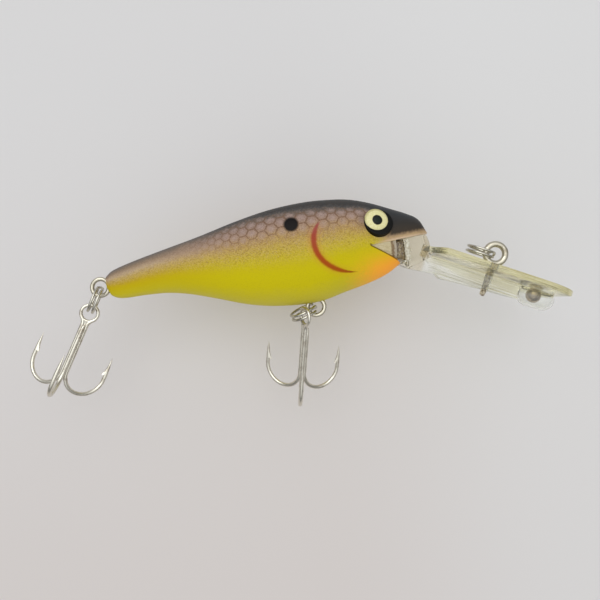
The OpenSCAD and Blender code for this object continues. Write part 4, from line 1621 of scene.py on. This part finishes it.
@dataclass
class Treble:
    """Treble hook: a double hook whose wire forms the eye, and a single hook brazed to its shank."""

    name: str
    at: np.ndarray
    swing: float
    lean: float
    spin: float
    wire: float = 0.88
    length: float = 18.3
    bend_r: float = 4.3
    point_height: float = 10.1
    point_len: float = 4.5
    point_gap: float = 0.15
    point_least: float = 0.03
    point_power: float = 1.9
    point_rows: int = 26
    bend_rows: int = 61
    barb: float = 0.5
    barb_rise: tuple[float, float, float] = (2.5, 4.3, 4.36)
    barb_rows: tuple[float, ...] = (2.5, 2.9, 3.3, 3.7, 4.1, 4.28, 4.34, 4.42)
    barb_power: float = 1.2
    barb_focus: int = 8
    eye_r: float = 1.785
    eye_wire: float = 0.72
    eye_rows: int = 40
    blend_r: float = 2.0
    blend_rows: int = 12
    thin_rows: int = 16
    gap: float = 0.05
    foot: tuple[float, float] = (-150.0, -30.0)
    web: float = 0.6
    web_drop: float = 1.4
    web_rows: int = 30
    web_end: int = 6
    heel: float = 0.55
    heel_rows: int = 4
    turn_share: tuple[float, float] = (0.5, 0.134)
    sides: int = 24
    leg_rows: int = 31
    crease: float = 55.0
    pieces: list[bpy.types.Object] = field(default_factory=list)

    @property
    def leg(self) -> float:
        """Distance of each leg of the double hook from the shank's axis."""
        return (self.wire + self.gap) / 2

    @property
    def bend_z(self) -> float:
        """Height of the bend's centre."""
        return -(self.length - self.bend_r - self.wire / 2)

    @property
    def blend_z(self) -> float:
        """Height at which the legs start to open into the eye."""
        return -math.sqrt((self.eye_r + self.blend_r) ** 2 - (self.leg + self.blend_r) ** 2)

    def _prong(self, leg: np.ndarray, facing: float) -> tuple[np.ndarray, np.ndarray, np.ndarray]:
        """One prong from its tip down, round the bend and up its leg.

        The point is straight and its radius grows as one less a power of the share left to the full wire; the
        barb rises towards the bend and ends in a sharp step.

        Args:
            leg: place of the leg's axis
            facing: direction of the bend in degrees from the X axis
        Returns:
            path, radii and barb heights
        """
        out = np.array([math.cos(math.radians(facing)), math.sin(math.radians(facing)), 0.0])
        up = np.array([0, 0, 1.0])
        tip_z = self.point_height - self.length
        even = np.linspace(0, tip_z - self.bend_z - self.point_gap, self.point_rows)
        drop = np.unique(np.concatenate([even, self.barb_rows]))
        point = leg + 2 * self.bend_r * out + (tip_z - drop)[:, None] * up
        a = np.radians(np.linspace(360, 180, self.bend_rows))[:, None]
        bend = leg + self.bend_r * (1 + np.cos(a)) * out + (self.bend_z + self.bend_r * np.sin(a)) * up
        rise = np.linspace(self.bend_z, self.blend_z, self.leg_rows + 1)[1:, None]
        path = np.concatenate([point, bend, leg + rise * up])
        taper = 1 - (1 - np.clip(drop / self.point_len, self.point_least, 1)) ** self.point_power
        radii = np.full(len(path), self.wire / 2)
        radii[: len(drop)] *= taper
        barbs = np.zeros(len(path))
        barbs[: len(drop)] = self.barb * np.interp(drop, self.barb_rise, [0, 1, 0]) ** self.barb_power
        return path, radii, barbs

    def _wire(
        self, path: np.ndarray, radii: np.ndarray, barbs: np.ndarray, normal: np.ndarray, inward: np.ndarray
    ) -> Surface:
        """Tube whose barb rows swell towards the shank, by a power of how far each side faces it.

        Args:
            path: points of the wire's middle line
            radii: radius at each point
            barbs: barb height at each point
            normal: direction across the wire at each point, or one for all points
            inward: direction towards the shank at each point, or one for all points
        Returns:
            the closed surface
        """
        inward = np.broadcast_to(inward, path.shape)
        faced = np.sum(rays(path, normal, self.sides) * inward[:, None], axis=-1)
        swell = barbs[:, None] * np.maximum(faced, 0) ** self.barb_focus
        return tube(path, radii, normal, self.sides, swell)

    def _double(self) -> Surface:
        """The double hook: a prong, its leg, the eye and the other leg and prong, all one wire.

        Returns:
            the surface in the hook's own frame
        """
        prong, radii, barbs = self._prong(np.array([self.leg, 0, 0]), 30)
        blend_x = self.leg + self.blend_r
        opening = math.atan2(-self.blend_z, blend_x)
        a = np.pi - opening * np.linspace(0, 1, self.blend_rows)[1:]
        out = joined(blend_x + self.blend_r * np.cos(a), 0, self.blend_z + self.blend_r * np.sin(a))
        b = -opening + (np.pi / 2 + opening) * np.linspace(0, 1, self.eye_rows)[1:]
        over = self.eye_r * joined(np.cos(b), 0, np.sin(b))
        half = np.concatenate([out, over])
        mirror = np.array([-1.0, 1, 1])
        path = np.concatenate([prong, half, half[-2::-1] * mirror, prong[::-1] * mirror])
        thin = np.interp(np.arange(len(half)), [0, self.thin_rows], [self.wire / 2, self.eye_wire / 2])
        wires = np.concatenate([radii, thin, thin[-2::-1], radii[::-1]])
        heights = np.concatenate([barbs, np.zeros(2 * len(half) - 1), barbs[::-1]])
        lean = np.concatenate([np.ones(len(prong) - self.leg_rows), np.linspace(1, 0, self.leg_rows)])
        lean = np.concatenate([lean, np.zeros(2 * len(half) - 1), -lean[::-1]])
        aside, less = self.turn_share
        normal = joined(-aside * lean, 1 - less * np.abs(lean), 0)
        sign = np.where(np.arange(len(path)) < len(path) / 2, 1.0, -1.0)
        inward = joined(-math.sqrt(0.75) * sign, -0.5, 0)
        return self._wire(path, wires, heights, normal, inward) + self._braze()

    def _braze(self) -> Surface:
        """Braze that closes the eye: an arc of wire across its foot over a flat web between the legs.

        Returns:
            the surface in the hook's own frame
        """
        a = np.radians(np.linspace(*self.foot, self.eye_rows))
        foot = tube(self.eye_r * joined(np.cos(a), 0, np.sin(a)), self.eye_wire / 2, LEFTWARD, self.sides)
        z = np.linspace(self.blend_z - self.web_drop, -self.eye_r, self.web_rows)
        open_z = np.clip(z - self.blend_z, 0, self.blend_r)
        spread = self.leg + self.blend_r - np.sqrt(self.blend_r**2 - open_z**2)
        ends = np.interp(np.arange(self.web_rows), [0, self.web_end, self.web_rows - 1], [0.2, 1, 1])
        web = tube(joined(0, 0, z), spread * ends, AHEAD, self.sides)
        return foot + web.placed(np.diag([1, self.web, 1]), np.zeros(3))

    def _single(self) -> Surface:
        """The single hook, whose leg ends under the eye in a short taper.

        Returns:
            the surface in the hook's own frame
        """
        path, radii, barbs = self._prong(np.array([0, -math.sqrt(3) * self.leg, 0]), -90)
        last = len(path) - 1
        radii = radii * np.interp(np.arange(len(path)), [0, last - self.heel_rows, last], [1, 1, self.heel])
        return self._wire(path, radii, barbs, AHEAD, LEFTWARD)

    def build(self) -> None:
        """Makes both wires in place."""
        axes = turn("Y", self.swing) @ turn("X", self.lean) @ turn("Z", self.spin)
        for kind, surface in (("double", self._double()), ("single", self._single())):
            placed = surface.placed(axes, self.at)
            self.pieces.append(add_piece(f"{self.name}_{kind}_wire", placed, self.crease))

    def dress(self) -> None:
        """Gives both wires their nickel."""
        nickel = NICKEL.material()
        for kind, piece in zip(("double", "single"), self.pieces):
            coat(piece, nickel)
            settle(piece, f"{self.name}_treble", [f"{self.name}_{kind}_hook"])


@dataclass
class Studio:
    """Pale sheet behind the lure, soft light and the photograph's camera."""

    sheet_y: float = 20.0
    sheet_half: float = 400.0
    camera_at: tuple[float, float, float] = (-43.561, -121.0, -3.281)
    camera_roll: float = 8.974
    middle: tuple[float, float, float] = (-40.0, 0.0, -5.0)
    lens: float = 33.37
    sensor: float = 36.0
    clip_start: float = 0.005  # metres
    lamps: tuple = (
        ("key", (-60.0, -420.0, 110.0), 420.0, 0.5),
        ("fill", (0.0, 420.0, 120.0), 420.0, 0.7),
    )
    ambient: float = 0.84
    daylight: Colour = tint(244, 246, 248)
    backdrop: Colour = tint(214, 213, 212)

    def build(self) -> None:
        """Makes the sheet, the lamps, the world and the camera."""
        self._sheet()
        for lamp in self.lamps:
            self._lamp(*lamp)
        self._world()
        self._camera()

    def _sheet(self) -> None:
        """Upright square of paper behind the lure, which casts no shadow."""
        half = self.sheet_half * MM
        y = self.sheet_y * MM
        mesh = bpy.data.meshes.new("paper")
        corners = [(-half, y, -half), (half, y, -half), (half, y, half), (-half, y, half)]
        mesh.from_pydata(corners, [], [(0, 1, 2, 3)])
        sheet = linked("paper", mesh)
        coat(sheet, Paper().material())
        sheet.visible_shadow = False

    def _lamp(self, name: str, at: Sequence[float], size: float, watts: float) -> None:
        """Square area lamp that faces the lure's middle.

        Args:
            name: name of the lamp
            at: place in the lure's frame in millimetres
            size: edge in millimetres
            watts: power
        """
        light = bpy.data.lights.new(name, "AREA")
        light.size = size * MM
        light.energy = watts
        lamp = linked(name, light)
        lamp.location = Vector(at) * MM
        aim = Vector(self.middle) * MM - lamp.location
        lamp.rotation_euler = aim.to_track_quat("-Z", "Y").to_euler()
        lamp.visible_transmission = False

    def _world(self) -> None:
        """Soft even light, a room with darker sides for metal to mirror, and a pale ground past the sheet."""
        world = bpy.data.worlds.new("studio")
        world.use_nodes = True
        tree = world.node_tree
        tree.nodes.clear()
        s = Shader.over(tree)
        x, y, z = s.parts(s.node("ShaderNodeTexCoord", output="Generated"))
        wall, ceiling = abs(y).rise(0.2, 0.9), z.rise(0.4, 1.0)
        window = (x * -0.3 + y * -0.7 + z * 0.65).rise(0.93, 0.98) * 1.6
        shades = (
            ("Glossy", self.daylight, 0.2 + wall + ceiling * 0.4 + window),
            ("Transmission", self.daylight, 0.16 + wall * 0.52 + ceiling * 0.2 + window),
            ("Camera", self.backdrop, 1.0),
        )
        mix = s.node("ShaderNodeBackground", inputs={"Color": self.daylight, "Strength": self.ambient})
        for name, colour, strength in shades:
            ray = s.node("ShaderNodeLightPath", output=f"Is {name} Ray")
            shade = s.node("ShaderNodeBackground", inputs={"Color": colour, "Strength": strength})
            mix = s.node("ShaderNodeMixShader", inputs={0: ray, 1: mix, 2: shade})
        out = tree.nodes.new("ShaderNodeOutputWorld")
        tree.links.new(mix.socket, out.inputs["Surface"])
        bpy.context.scene.world = world

    def _camera(self) -> None:
        """Camera square to the lure's right flank, rolled so that the body's axis rises to the right."""
        data = bpy.data.cameras.new("photo")
        data.lens = self.lens
        data.sensor_width = self.sensor
        data.clip_start = self.clip_start
        camera = linked("photo", data)
        a = math.radians(self.camera_roll)
        right, up, back = (math.cos(a), 0, -math.sin(a)), (math.sin(a), 0, math.cos(a)), (0, -1, 0)
        axes = Matrix((right, up, back)).transposed()
        camera.matrix_world = Matrix.Translation(Vector(self.camera_at) * MM) @ axes.to_4x4()
        bpy.context.scene.camera = camera


def leaned(swing: float, lean: float) -> np.ndarray:
    """Direction of a hook that swings to the tail and leans to the left flank."""
    a, b = math.radians(swing), math.radians(lean)
    return np.array([-math.sin(a) * math.cos(b), math.sin(b), -math.cos(a) * math.cos(b)])


def main() -> None:
    """Builds and dresses every sub-assembly and sets the stage."""
    logging.basicConfig(level=logging.INFO, format="%(name)s: %(message)s")
    bpy.context.scene.view_settings.view_transform = "Standard"
    ring_r = MEASURES.ring_r
    slack = 0.35
    tie_swing, belly_swing, tail_swing = 117.0, 74.0, 32.0
    tie_drop = 0.5
    hook_swing = 13.0
    belly_lean, tail_lean = 20.0, -1.0
    belly_eye, tail_eye = joint_place("belly_ring_swing"), joint_place("tail_ring_swing")
    tie_ring = MEASURES.tie_eye + (ring_r + slack) * leaned(tie_swing, 0)
    tie_ring = tie_ring + tie_drop * leaned(tie_swing - 90, 0)
    tail_ring = tail_eye + ring_r * leaned(tail_swing, 0)
    belly_hook = joint_place("belly_treble_swing") + slack * leaned(hook_swing, belly_lean)
    tail_hook = tail_ring + ring_r * leaned(tail_swing, 0) + slack * leaned(tail_swing, tail_lean)
    eyes = [Eye(flank) for flank in Flank]
    body = Body()
    parts = [
        *eyes,
        Lip(),
        LineTie(),
        Hanger("belly_hanger", belly_eye, np.array([0, 0, 6.2])),
        Hanger("tail_hanger", tail_eye, np.array([9.0, 0, 0])),
        SplitRing("line_tie_ring", tie_ring, tie_swing, roll=6.0),
        SplitRing("belly_ring", belly_eye + ring_r * leaned(belly_swing, 0), belly_swing, roll=12.0),
        SplitRing("tail_ring", tail_ring, tail_swing, roll=15.0),
        Treble("belly", belly_hook, hook_swing, belly_lean, spin=120),
        Treble("tail", tail_hook, tail_swing, tail_lean, spin=11),
    ]
    body.build(eyes)
    body.dress()
    for part in parts:
        part.build()
        part.dress()
    coat(frame["nodes"]["ballast_weight"], LEAD.material())
    Studio().build()


if __name__ == "__main__":
    main()
